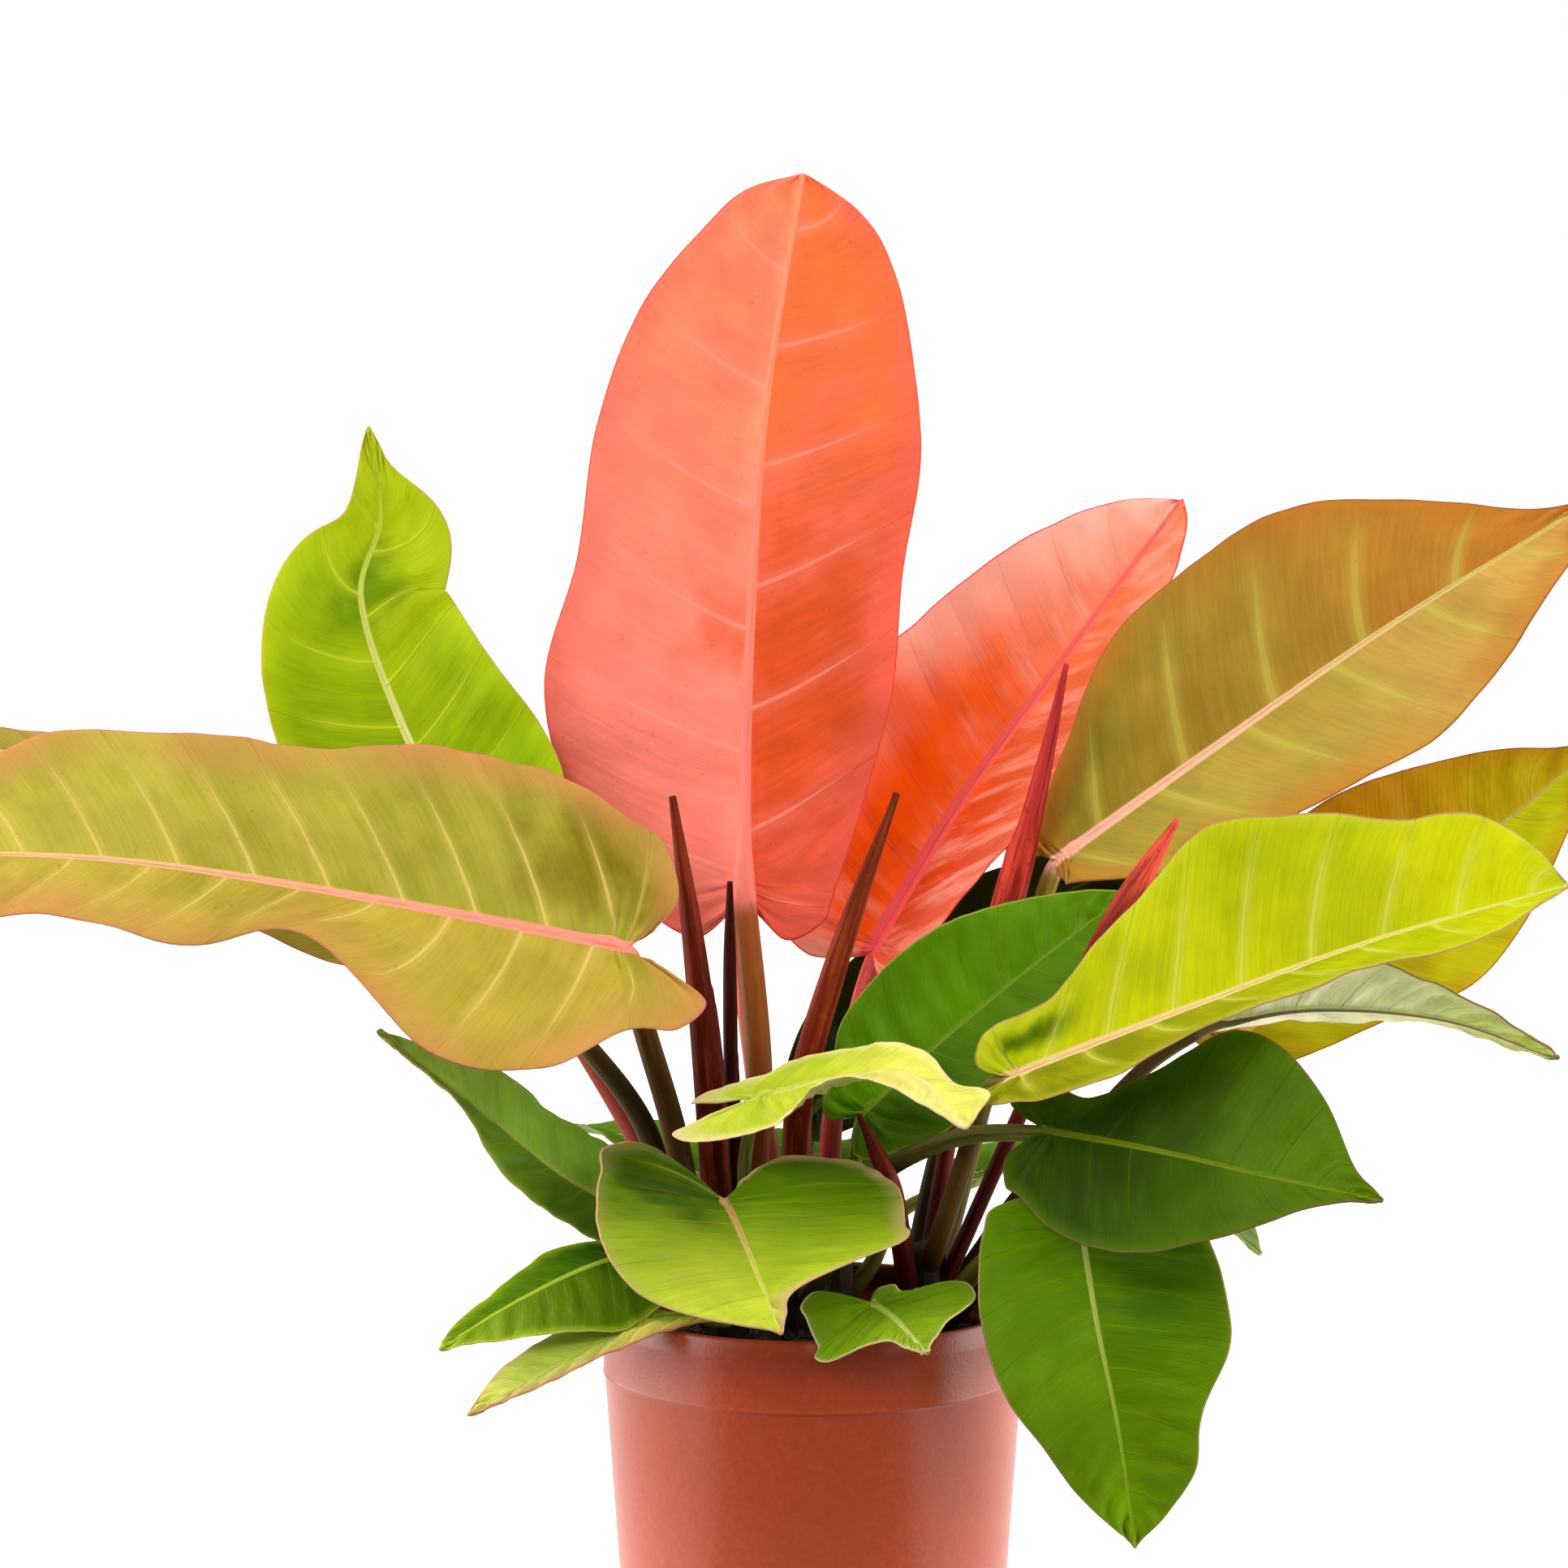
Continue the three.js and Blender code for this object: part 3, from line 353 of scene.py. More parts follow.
leaves = {
    "leaf_tall_orange": dict(
        rib=[(-28, 25, 322), (-27, 29, 404), (-20, 46, 515), (-4, 72, 616)], faces=[(0, 1, 0.1), (0, 1, 0)],
        left=[38, 50, 61, 63, 67, 58, 43, 25], right=[42, 73, 84, 77, 70, 58, 38, 23], lobes=[20, 19], fold=[14, 14, 8],
        dents=[(1, 2, 2), (1, 3, -3)], ripple=[2.5, 3, 0.4], root=("middle", 180, 176), bends=[(-22, 22, 250)],
        stalk=[6.2, 6, 5.4, 4.6, 2.4], slot="leaf_orange", shows="under", leftTones=[(234, 86, 50), (244, 114, 54)],
        rightTones=[(255, 134, 118), (255, 134, 90)], patch=(250, 104, 84, 0.25), streak=(255, 112, 100, 0.3),
        margin=(240, 96, 88, 0.5, 20), line=(222, 60, 44), vein=(255, 146, 126, 0.6),
        ribTones=[(252, 130, 116), (252, 146, 108)], under=(236, 84, 30), shade=(222, 78, 26, 0.75, 0.3, -0.3, 0.28),
        veins=6, veinWidth=0.03, ribWidth=0.5, rough=0.5, specular=0.07, speck=0.2, quilt=0.35,
        stalkTones=[(44, 20, 8), (124, 62, 24), (168, 82, 42)], stalkStreak=(110, 84, 14)),
    "leaf_bright_orange": dict(
        rib=[(25, 60, 293), (63, 92, 352), (110, 118, 414), (159, 132, 479)], faces=[(-0.41, -0.85, 0.46)],
        left=[48, 62, 66, 63, 54, 39, 25, 13], right=[34, 40, 56, 60, 52, 38, 24, 12], lobes=[15, 12],
        fold=[24, 30, 26], dents=[(-1, 4, 5), (-1, 5, 5), (-1, 6, 3)], ripple=[3, 2.5, 2], root=("middle", 50, 170),
        bends=[(8, 44, 225), (17, 54, 262)], stalk=[5.2, 4.8, 4.2, 3.6, 1.8], slot="leaf_orange",
        leftTones=[(255, 92, 0), (255, 146, 110)], rightTones=[(208, 64, 6), (236, 120, 72)], patch=(255, 120, 90, 0.0),
        # streak and margin: painted highlight, the pink-white sheen over the upper half
        streak=(255, 186, 166, 0.4), margin=(255, 182, 162, 0.95, 40), line=(222, 50, 44), vein=(255, 150, 120, 0.1),
        ribTones=[(236, 92, 90), (250, 118, 104)], under=(250, 120, 90), shade=(255, 96, 0, 1.0, 0.3, -0.5, 0.34),
        veins=9, ribWidth=1.5, marginRight=0.15, rough=0.38, specular=0.1, quilt=2.2,
        stalkTones=[(44, 12, 8), (120, 40, 32), (224, 92, 82)], stalkStreak=(160, 40, 36)),
    "leaf_bronze_right": dict(
        rib=[(100, 34, 334), (165, 40, 380), (240, 36, 433), (318, 22, 483)], faces=[(-0.19, -0.92, 0.42)],
        left=[15, 37, 63, 68, 62, 38, 17, 4], right=[14, 36, 46, 54, 55, 40, 22, 8], lobes=[4, 3], fold=[16, 16, 10],
        dents=[(-1, 5, -2), (-1, 6, -5)], ripple=[2.5, 2.2, 1], root=("right", 60, 170),
        bends=[(72, 42, 240), (90, 42, 298)], stalk=[5.4, 4.8, 4.2, 3.8, 2], slot="leaf_bronze",
        leftTones=[(150, 126, 38), (196, 124, 38)], rightTones=[(166, 148, 52), (208, 162, 78)],
        patch=(150, 130, 40, 0.4), streak=(190, 150, 60, 0.25), margin=(192, 112, 34, 0.6, 22), line=(160, 84, 44),
        vein=(200, 184, 76, 0.55), ribTones=[(255, 186, 160), (206, 190, 100)], under=(170, 140, 70),
        shade=(112, 104, 26, 0.8, 0.1, -0.75, 0.16), veins=6, veinWidth=0.05, halo=0.6, speck=0.15, quilt=0.9,
        stalkTones=[(50, 26, 10), (110, 90, 26), (150, 126, 46)], stalkStreak=(80, 70, 20)),
    "leaf_golden_right": dict(
        rib=[(171, 45, 255), (222, 55, 296), (277, 66, 337), (336, 76, 384)], faces=[(-0.1, -0.95, 0.3)],
        left=[20, 40, 52, 53, 44, 28, 9, 3], right=[16, 26, 36, 46, 38, 22, 9, 4], lobes=[8, 8], ripple=[2, 2, 3],
        root=("right", 17, 157), bends=[(94, 32, 205), (137, 42, 236)], stalk=[4.6, 4, 3.4, 3, 1.6], slot="leaf_yellow",
        leftTones=[(172, 108, 0), (190, 164, 4)], rightTones=[(178, 178, 6), (190, 194, 8)], patch=(170, 120, 10, 0.5),
        streak=(178, 170, 10, 0.25), margin=(180, 120, 20, 0.6, 12), line=(150, 80, 40), vein=(196, 184, 60, 0.3),
        ribTones=[(200, 170, 90), (190, 176, 80)], under=(150, 140, 60), shade=(170, 106, 0, 0.6, 0.4, -0.6, 0.3),
        veins=7, speck=0.1, stalkTones=shadedStalk, stalkStreak=(50, 40, 10)),
    "leaf_lime_right": dict(
        rib=[(78, -50, 257), (141, -76, 286), (212, -96, 316), (288, -108, 340)], faces=[(-0.2, -0.7, 0.7)],
        left=[22, 24, 45, 62, 57, 42, 34, 18], right=[26, 42, 38, 30, 27, 34, 22, 9], lobes=[13, 20], fold=[33, 33, 33],
        dents=[(1, 3, -2), (1, 4, -3), (1, 5, 3)], ripple=[2.5, 2.8, 0], root=("right", 286, 175),
        bends=[(62, -18, 222), (70, -34, 250)], stalk=[4.8, 4.2, 3.8, 3.2, 1.6], slot="leaf_lime",
        leftTones=[(200, 206, 8), (206, 208, 2)], rightTones=[(122, 126, 8), (188, 192, 8)], patch=(150, 170, 0, 0.35),
        streak=(200, 204, 10, 0.2), margin=(196, 210, 60, 0.3, 8), line=(180, 118, 96), vein=(222, 224, 90, 0.55),
        ribTones=[(240, 200, 144), (224, 220, 120)], under=(190, 196, 90), shade=(84, 116, 0, 1.0, 0.03, -0.55, 0.13),
        veinWidth=0.034, halo=0.55, ribWidth=1.0, rough=0.4, stalkTones=[(70, 22, 12), (96, 70, 24), (140, 130, 50)],
        stalkStreak=(70, 60, 20)),
    "leaf_green_right": dict(
        rib=[(92, -58, 237), (132, -86, 234), (175, -112, 228), (216, -130, 222)], faces=[(0.35, -0.92, 0.25)],
        left=[18, 16, 32, 52, 50, 34, 11, 4], right=[30, 40, 45, 43, 28, 12, 4, 2], lobes=[20, 14], fold=[8, 8, 8],
        ripple=[2, 2, 1.5], root=("middle", 300, 158), bends=[(23, 5, 205), (57, -32, 230)],
        stalk=[4.6, 4.2, 3.8, 3.2, 1.6], leftTones=[(62, 96, 0), (88, 124, 0)], rightTones=[(48, 76, 0), (84, 118, 0)],
        patch=(36, 60, 0, 0.4), streak=(66, 100, 4, 0.2), margin=(84, 116, 0, 0.5, 8), line=(120, 90, 50),
        vein=(80, 108, 10, 0.4), ribTones=[(112, 124, 14), (116, 136, 10)], under=(110, 140, 80),
        shade=(34, 56, 0, 0.7, 0.18, -0.2, 0.3), ribWidth=0.55, rough=0.36, specular=0.14,
        stalkTones=[(50, 26, 10), (90, 84, 30), (120, 118, 50)], stalkStreak=(60, 40, 14)),
    "leaf_hanging_right": dict(
        rib=[(105, -62, 199), (110, -86, 165), (118, -90, 126), (126, -80, 75)],
        faces=[(0.1, -0.9, 0.4), (0.1, -0.97, -0.1)], left=[47, 50, 52, 50, 33, 24, 13, 5],
        right=[40, 44, 46, 42, 31, 18, 8, 3], lobes=[12, 14], fold=[8, 8, 4],
        dents=[(-1, 5, 4), (-1, 6, 3), (1, 5, 3), (1, 6, 2)], ripple=[2, 2, 0.5], root=("right", 305, 150),
        bends=[(74, -30, 185), (94, -50, 203)], stalk=[4.4, 4, 3.6, 3, 1.6], leftTones=[(72, 108, 0), (108, 148, 0)],
        rightTones=[(82, 120, 0), (116, 158, 0)], patch=(70, 104, 0, 0.4), streak=(104, 138, 4, 0.2),
        margin=(104, 134, 10, 0.4, 7), line=(150, 130, 80), vein=(116, 152, 0, 0.6),
        ribTones=[(172, 176, 84), (134, 172, 14)], under=(130, 160, 96), shade=(58, 98, 0, 0.7, 0.2, -0.5, 0.2),
        ribWidth=0.5, rough=0.4, specular=0.14, stalkStreak=(90, 60, 30)),
    "leaf_front": dict(
        rib=[(-36, -50, 208), (-30, -73, 200.5), (-22, -98, 186), (-13, -118, 168)],
        faces=[(0.25, -0.5, 0.83), (0.25, -0.6, 0.75)], left=[70, 70, 68, 64, 58, 13, 5, 2],
        right=[53, 56, 60, 64, 62, 50, 27, 6], lobes=[33, 38], fold=[10, 10, 6], waves=[(-1, 0.5, 0.3, 5)],
        ripple=[2, 1.5, 2.5], root=("left", 278, 160), bends=[(-38, -14, 188)], stalk=[4.4, 4, 3.4, 3, 1.6],
        slot="leaf_lime", leftTones=[(76, 112, 0), (200, 214, 44)], rightTones=[(56, 86, 0), (196, 208, 52)],
        patch=(104, 146, 0, 0.3), streak=(150, 170, 10, 0.1), margin=(208, 174, 118, 0.7, 9), line=(214, 160, 120),
        vein=(184, 194, 50, 0.35), ribTones=[(170, 132, 80), (214, 210, 90)], under=(196, 176, 120),
        # shade: painted shade by the sinus, where the stalk meets the blade
        shade=(44, 72, 0, 0.9, 0.06, 0.5, 0.3), marginRight=0.35, rough=0.34, specular=0.18, quilt=1.0,
        stalkStreak=(110, 60, 30)),
    "leaf_cream": dict(
        rib=[(-23, -24, 245), (7, -37, 254), (38, -58, 259), (59, -84, 242)], faces=[(0, -0.6, 0.8), (0, -0.26, 0.97)],
        left=[12, 15, 18, 20, 14, 9, 18, 8], right=[22, 24, 24, 24, 22, 16, 9, 4], lobes=[31, 36], fold=[2, 2, 20],
        waves=[(1, 0.4, 0.22, 8)], ripple=[1, 2, 1], root=("left", 302, 174), bends=[(-28, -12, 215)],
        stalk=[4, 3.4, 2.8, 2.4, 1.4], slot="leaf_lime", leftTones=[(190, 204, 40), (240, 236, 106)],
        rightTones=[(202, 212, 52), (250, 242, 140)], patch=(170, 190, 20, 0.5), streak=(200, 206, 60, 0.15),
        margin=(246, 234, 164, 0.9, 5), line=(250, 214, 160), vein=(230, 226, 130, 0.4),
        ribTones=[(200, 206, 80), (248, 234, 170)], under=(206, 206, 130), shade=(146, 176, 10, 0.4, 0.3, 0.5, 0.2),
        specular=0.25),
    "leaf_green_left": dict(
        rib=[(-72, -22, 197), (-100, -28, 213), (-133, -30, 240), (-175, -24, 272)], faces=[(0.25, -0.42, 0.88)],
        left=[46, 42, 37, 27, 10, 4, 2, 1.5], right=[16, 30, 31, 25, 24, 18, 8, 3], lobes=[14, 8], fold=[6, 10, 8],
        ripple=[1.5, 2, 0], root=("left", 203, 150), bends=[(-60, -10, 174)], stalk=[4.2, 3.8, 3.2, 2.8, 1.4],
        leftTones=[(70, 116, 0), (94, 132, 20)], rightTones=[(120, 176, 40), (146, 186, 70)], patch=(64, 98, 0, 0.3),
        streak=(116, 146, 60, 0.25), margin=(140, 166, 60, 0.4, 5), line=(150, 130, 70), vein=(140, 168, 60, 0.35),
        ribTones=[(156, 170, 70), (130, 150, 60)], under=(140, 160, 100), shade=(58, 96, 6, 0.6, 0.2, -0.6, 0.25),
        rough=0.3, specular=0.3, quilt=0.9, stalkStreak=(90, 60, 30)),
    "leaf_low_left": dict(
        rib=[(-52, -26, 185), (-85, -46, 182), (-117, -64, 170), (-147, -79, 154)], faces=[(-0.3, -0.7, 0.64)],
        left=[14, 22, 30, 34, 26, 16, 7, 3], right=[6, 10, 14, 16, 13, 9, 6, 3], lobes=[10, 4], fold=[-14, -14, 8],
        ripple=[1, 2, 1], root=("left", 234, 158), bends=[(-50, -14, 174)], stalk=[4, 3.6, 3, 2.6, 1.4],
        leftTones=[(52, 90, 0), (130, 160, 24)], rightTones=[(46, 84, 0), (100, 142, 6)], patch=(66, 100, 0, 0.3),
        streak=(112, 156, 10, 0.25), margin=(160, 190, 30, 0.7, 5), line=(190, 190, 80), vein=(150, 180, 40, 0.35),
        ribTones=[(176, 196, 60), (190, 206, 60)], under=(116, 140, 70), shade=(48, 90, 0, 0.6, 0.2, 0.4, 0.3),
        ribWidth=0.6, rough=0.38, specular=0.18),
    "leaf_lowest_left": dict(
        rib=[(-40, -48, 160.6), (-68, -66, 161.2), (-103, -84, 147), (-135, -94, 131)],
        faces=[(0, -0.12, 0.99), (-0.25, -0.75, 0.6)], left=[6, 7, 9, 8, 6, 4, 2, 1],
        right=[5, 8, 14, 18, 18, 14, 8, 3], lobes=[6, 4], fold=[0, 0, -5], ripple=[0.6, 2, 2], root=("left", 295, 149),
        bends=[(-34, -26, 155)], stalk=[3.8, 3.2, 2.8, 2.2, 1.2], slot="leaf_lime",
        leftTones=[(232, 220, 92), (255, 242, 150)], rightTones=[(130, 160, 24), (216, 218, 100)],
        patch=(120, 156, 20, 0.5), streak=(190, 196, 80, 0.25), margin=(206, 170, 110, 0.6, 4), line=(214, 140, 100),
        vein=(190, 196, 80, 0.35), ribTones=[(150, 170, 50), (190, 196, 80)], under=(150, 160, 90),
        shade=(64, 100, 0, 0.7, 0.1, 0.2, 0.25), quilt=0.6, stalkStreak=(100, 50, 30)),
    "leaf_mustard_left": dict(
        rib=[(-74, -30, 306), (-167, -60, 328), (-268, -85, 347), (-360, -98, 352)], faces=[(0.05, -0.8, 0.55)],
        left=[38, 63, 64, 22, 35, 27, 29, 17], right=[55, 69, 69, 62, 56, 54, 33, 14], lobes=[33, 20], fold=[4, 6, 4],
        ripple=[3, 3, 1.6], root=("left", 232, 176), bends=[(-57, -1, 230), (-69, -16, 275)],
        stalk=[5.6, 5.2, 4.8, 4.2, 2.2], slot="leaf_yellow", leftTones=[(184, 160, 54), (188, 164, 60)],
        rightTones=[(160, 156, 46), (188, 176, 64)], patch=(146, 136, 26, 0.4), streak=(200, 172, 74, 0.3),
        margin=(210, 138, 82, 0.7, 24), line=(206, 120, 96), vein=(228, 196, 100, 0.75),
        ribTones=[(255, 146, 126), (232, 190, 134)], under=(176, 164, 96), shade=(122, 104, 0, 0.85, 0.02, 0.6, 0.2),
        veins=10, veinWidth=0.036, halo=0.35, ribWidth=0.7, speck=0.2, quilt=1.2,
        stalkTones=[(44, 20, 8), (82, 52, 20), (110, 76, 34)], stalkStreak=(50, 30, 10)),
    "leaf_hidden_left": dict(
        rib=[(-118, 10, 290), (-196, 22, 322), (-277, 32, 360), (-361, 36, 388)], faces=[(0.2, -0.85, 0.5)],
        left=[18, 26, 30, 32, 30, 24, 14, 6], right=[16, 24, 26, 24, 20, 16, 10, 5], lobes=[12, 12],
        ripple=[1.5, 2.5, 0], root=("left", 184, 164), bends=[(-68, 11, 226), (-95, 11, 264)],
        stalk=[5.2, 4.8, 4.2, 3.4, 1.8], slot="leaf_yellow", leftTones=[(150, 150, 40), (150, 150, 60)],
        rightTones=[(150, 146, 40), (176, 150, 60)], patch=(130, 140, 30, 0.6), streak=(170, 150, 60, 0.25),
        margin=(186, 146, 80, 0.5, 9), line=(176, 110, 80), vein=(196, 184, 90, 0.4),
        ribTones=[(220, 176, 120), (210, 180, 120)], under=(150, 150, 80), shade=(120, 120, 20, 0.4, 0.2, 0.0, 0.3),
        veins=9, speck=0.1, stalkTones=shadedStalk, stalkStreak=(60, 50, 14)),
    "leaf_lime_left": dict(
        rib=[(-138, 42, 324), (-171, 50, 392), (-187, 57, 441), (-179, 62, 474), (-184, 64, 512)],
        faces=[(-0.3, -0.9, 0.2), (0.1, -1, 0.1)], left=[40, 50, 52, 50, 41, 14, 5, 2],
        right=[44, 56, 54, 45, 37, 32, 8.5, 3], lobes=[12, 12], fold=[12, 12, 6],
        dents=[(-1, 5, 5), (-1, 6, 4), (-1, 7, 2)], ripple=[3, 2.5, 1], root=("left", 148, 152),
        bends=[(-70, 26, 215), (-106, 36, 275)], stalk=[5.4, 5, 4.4, 3.6, 1.8], slot="leaf_lime",
        leftTones=[(122, 156, 0), (174, 188, 14)], rightTones=[(132, 160, 0), (172, 184, 10)], patch=(112, 150, 0, 0.3),
        streak=(160, 190, 8, 0.25), margin=(180, 196, 20, 0.6, 12), line=(186, 160, 70), vein=(200, 210, 40, 0.6),
        ribTones=[(226, 214, 140), (176, 190, 30)], under=(160, 186, 70), shade=(84, 124, 0, 0.85, 0.64, 0.05, 0.2),
        veins=7, veinWidth=0.034, halo=0.4, quilt=1.0, stalkTones=[(80, 22, 12), (150, 60, 44), (160, 84, 54)],
        stalkStreak=(120, 34, 26)),
    "leaf_green_middle": dict(
        rib=[(20, 8, 233), (52, 14, 262), (90, 17, 293), (129, 17, 323)], faces=[(-0.25, -0.92, 0.35)],
        left=[18, 32, 38, 38, 32, 22, 12, 5], right=[24, 32, 34, 32, 28, 20, 11, 5], lobes=[12, 14], fold=[14, 14, 10],
        ripple=[1.5, 2, 2], root=("middle", 350, 166), bends=[(16, 12, 206)], leftTones=[(92, 142, 0), (100, 152, 0)],
        rightTones=[(72, 112, 0), (92, 138, 0)], patch=(70, 108, 0, 0.4), streak=(92, 134, 4, 0.2),
        margin=(96, 136, 0, 0.4, 5), line=(150, 160, 60), vein=(126, 156, 24, 0.35),
        ribTones=[(116, 146, 20), (120, 152, 20)], under=(120, 156, 80), shade=(52, 88, 0, 0.6, 0.1, 0.5, 0.26),
        ribWidth=0.55, rough=0.26, specular=0.14, stalkStreak=(80, 50, 20)),
    "leaf_dark_middle": dict(
        rib=[(0, 62, 225), (44, 78, 271), (92, 88, 306), (147, 92, 333)], faces=[(-0.3, -0.85, 0.5)],
        left=[18, 28, 32, 30, 26, 18, 10, 4], right=[18, 28, 32, 30, 26, 18, 10, 4], lobes=[10, 10], fold=[10, 10, 8],
        # its near-black tones are painted shade: this leaf lies in deep shadow behind the others
        ripple=[1.5, 2, 0], root=("back", 200, 160), bends=[(-3, 58, 198)], leftTones=[(22, 34, 2), (30, 50, 4)],
        rightTones=[(18, 28, 2), (24, 40, 4)], patch=(12, 22, 0, 0.6), streak=(36, 56, 6, 0.4),
        margin=(40, 60, 10, 0.3, 5), line=(60, 60, 20), vein=(50, 70, 20, 0.3), ribTones=[(60, 80, 24), (60, 80, 24)],
        under=(60, 80, 40), shade=(10, 16, 0, 0.6, 0.3, 0.0, 0.4), rough=0.34, stalkTones=shadedStalk,
        stalkStreak=(30, 20, 6)),
    "leaf_silver_right": dict(
        rib=[(155, -30, 275), (198, -45, 284), (249, -54, 281), (293, -60, 266)],
        faces=[(0.1, 0.5, 0.85), (0, 0.5, 0.85)], left=[14, 20, 24, 24, 20, 13, 8, 4],
        right=[16, 26, 31, 32, 25, 15, 7, 4], lobes=[10, 10], fold=[14, 14, 10], ripple=[1.5, 2, 1],
        root=("right", 350, 147), bends=[(92, -6, 205), (128, -20, 252)], stalk=[4, 3.6, 3.2, 2.6, 1.4],
        # its pale tones are the underside's silver, lifted almost to white as painted light where it lies in shade; its
        # shade spot is the lime tip
        slot="leaf_silver", shows="under", leftTones=[(255, 250, 214), (232, 240, 120)],
        rightTones=[(246, 244, 206), (214, 236, 70)], patch=(252, 248, 218, 0.3), streak=(220, 218, 180, 0.3),
        margin=(214, 206, 150, 0.5, 5), line=(150, 90, 70), vein=(196, 196, 166, 0.35),
        ribTones=[(110, 96, 66), (150, 140, 100)], under=(96, 140, 20), shade=(216, 242, 40, 1.0, 1.0, 0.4, 0.26),
        rough=0.5, quilt=0.7, stalkTones=shadedStalk, stalkStreak=(60, 40, 20)),
    "leaf_rim_front": dict(
        rib=[(23, -77, 172), (31, -92, 169), (37, -106, 165), (43, -118, 161)], faces=[(-0.21, -0.44, 0.87)],
        left=[14, 29, 35, 36, 15, 9, 4, 2], right=[28, 33, 30, 19, 8, 5, 3, 1.5], lobes=[6, 24], fold=[12, -10, -10],
        dents=[(-1, 3, -3), (-1, 4, 5), (-1, 5, 2)], waves=[(-1, 0.35, 0.25, 2)], ripple=[0.8, 2, 0],
        root=("right", 256, 150), bends=[(36, -28, 162), (27, -56, 172)], stalk=[3.6, 3, 2.6, 2.2, 1.2],
        leftTones=[(104, 140, 0), (136, 166, 14)], rightTones=[(112, 150, 0), (152, 176, 30)], patch=(84, 118, 0, 0.35),
        streak=(104, 150, 14, 0.2), margin=(150, 176, 60, 0.4, 4), line=(214, 186, 130), vein=(150, 180, 50, 0.4),
        ribTones=[(140, 160, 50), (206, 210, 120)], under=(206, 190, 130), shade=(54, 96, 0, 0.6, 0.1, 0.0, 0.25),
        rough=0.38, specular=0.2, quilt=0.9, stalkStreak=(80, 40, 20)),
    "leaf_back_upright": dict(
        rib=[(-34, 98, 320), (-42, 114, 392), (-48, 136, 470), (-44, 170, 560)], faces=[(0, -1, 0.25), (0, -1, 0.4)],
        left=[34, 48, 54, 54, 48, 36, 22, 10], right=[34, 48, 54, 54, 48, 36, 22, 10], lobes=[18, 18], fold=[10, 10, 8],
        ripple=[2.5, 2.5, 0.8], root=("middle", 110, 168), bends=[(-23, 68, 235)], stalk=[5.4, 5, 4.6, 4, 2],
        slot="leaf_orange", leftTones=[(224, 96, 44), (236, 112, 60)], rightTones=[(230, 100, 50), (240, 120, 66)],
        patch=(214, 90, 40, 0.5), streak=(240, 120, 80, 0.25), margin=(230, 90, 50, 0.4, 10), line=(190, 60, 40),
        vein=(246, 156, 120, 0.4), ribTones=[(240, 130, 110), (250, 150, 120)], under=(226, 120, 84),
        shade=(196, 80, 30, 0.5, 0.3, 0.2, 0.2), speck=0.3, quilt=0.9,
        stalkTones=[(96, 40, 16), (150, 72, 44), (226, 120, 100)], stalkStreak=(110, 60, 20)),
    "leaf_back_right": dict(
        rib=[(95, 90, 300), (150, 118, 350), (212, 140, 400), (280, 150, 440)], faces=[(-0.3, -0.8, 0.5)],
        left=[24, 38, 44, 42, 36, 26, 15, 6], right=[24, 38, 44, 42, 36, 26, 15, 6], lobes=[14, 14], fold=[10, 10, 8],
        ripple=[2.5, 2, 2.2], root=("right", 100, 158), bends=[(56, 56, 220), (76, 78, 264)],
        stalk=[4.8, 4.4, 3.8, 3.2, 1.6], slot="leaf_yellow", leftTones=[(150, 154, 30), (176, 160, 40)],
        rightTones=[(150, 156, 30), (170, 166, 40)], patch=(130, 140, 20, 0.5), streak=(180, 160, 50, 0.25),
        margin=(180, 136, 60, 0.5, 10), line=(160, 90, 60), vein=(200, 190, 90, 0.5),
        ribTones=[(230, 180, 130), (214, 186, 120)], under=(150, 150, 80), shade=(120, 130, 14, 0.5, 0.2, 0.4, 0.2),
        speck=0.1, quilt=0.9, stalkTones=shadedStalk, stalkStreak=(60, 50, 14)),
    "leaf_back_left": dict(
        rib=[(-50, 80, 196), (-80, 112, 206), (-108, 142, 204), (-132, 172, 186)],
        faces=[(0, 0.2, 1), (-0.3, 0.5, 0.8)], ripple=[2, 2, 0], root=("back", 150, 150), bends=[(-22, 74, 182)],
        leftTones=[(84, 130, 8), (104, 150, 14)], rightTones=[(80, 126, 6), (100, 146, 12)], patch=(62, 108, 2, 0.6),
        streak=(110, 152, 20, 0.25), margin=(130, 166, 40, 0.4, 6), line=(150, 130, 70), vein=(140, 176, 50, 0.4),
        ribTones=[(170, 186, 80), (160, 186, 70)], under=(130, 156, 90), shade=(52, 94, 0, 0.6, 0.1, 0.0, 0.3),
        **lowBack),
    "leaf_back_middle": dict(
        rib=[(6, 100, 190), (10, 134, 198), (16, 170, 194), (20, 204, 176)], faces=[(0, 0, 1), (0, 0.5, 0.8)],
        ripple=[2, 2, 1.4], root=("back", 84, 155), bends=[(10, 90, 183)], leftTones=[(60, 106, 4), (80, 126, 8)],
        rightTones=[(58, 102, 4), (78, 122, 8)], patch=(44, 84, 0, 0.6), streak=(84, 130, 10, 0.25),
        margin=(104, 140, 30, 0.4, 6), line=(140, 120, 60), vein=(116, 150, 40, 0.4),
        ribTones=[(150, 166, 60), (140, 166, 56)], under=(116, 146, 80), shade=(36, 70, 0, 0.6, 0.1, 0.0, 0.3),
        **lowBack),
    "leaf_back_low": dict(
        rib=[(70, 78, 196), (112, 98, 204), (158, 120, 188), (196, 138, 150)], faces=[(0, 0.1, 1), (0.3, 0.4, 0.8)],
        ripple=[2, 2, 2.8], root=("back", 24, 150), bends=[(38, 70, 182)], leftTones=[(96, 142, 8), (120, 160, 20)],
        rightTones=[(92, 138, 8), (116, 156, 16)], patch=(74, 120, 2, 0.6), streak=(120, 160, 26, 0.25),
        margin=(150, 176, 50, 0.4, 6), line=(160, 130, 80), vein=(150, 180, 56, 0.4),
        ribTones=[(186, 190, 96), (176, 190, 80)], under=(136, 160, 96), shade=(66, 108, 0, 0.6, 0.1, 0.0, 0.3),
        **lowBack),
}

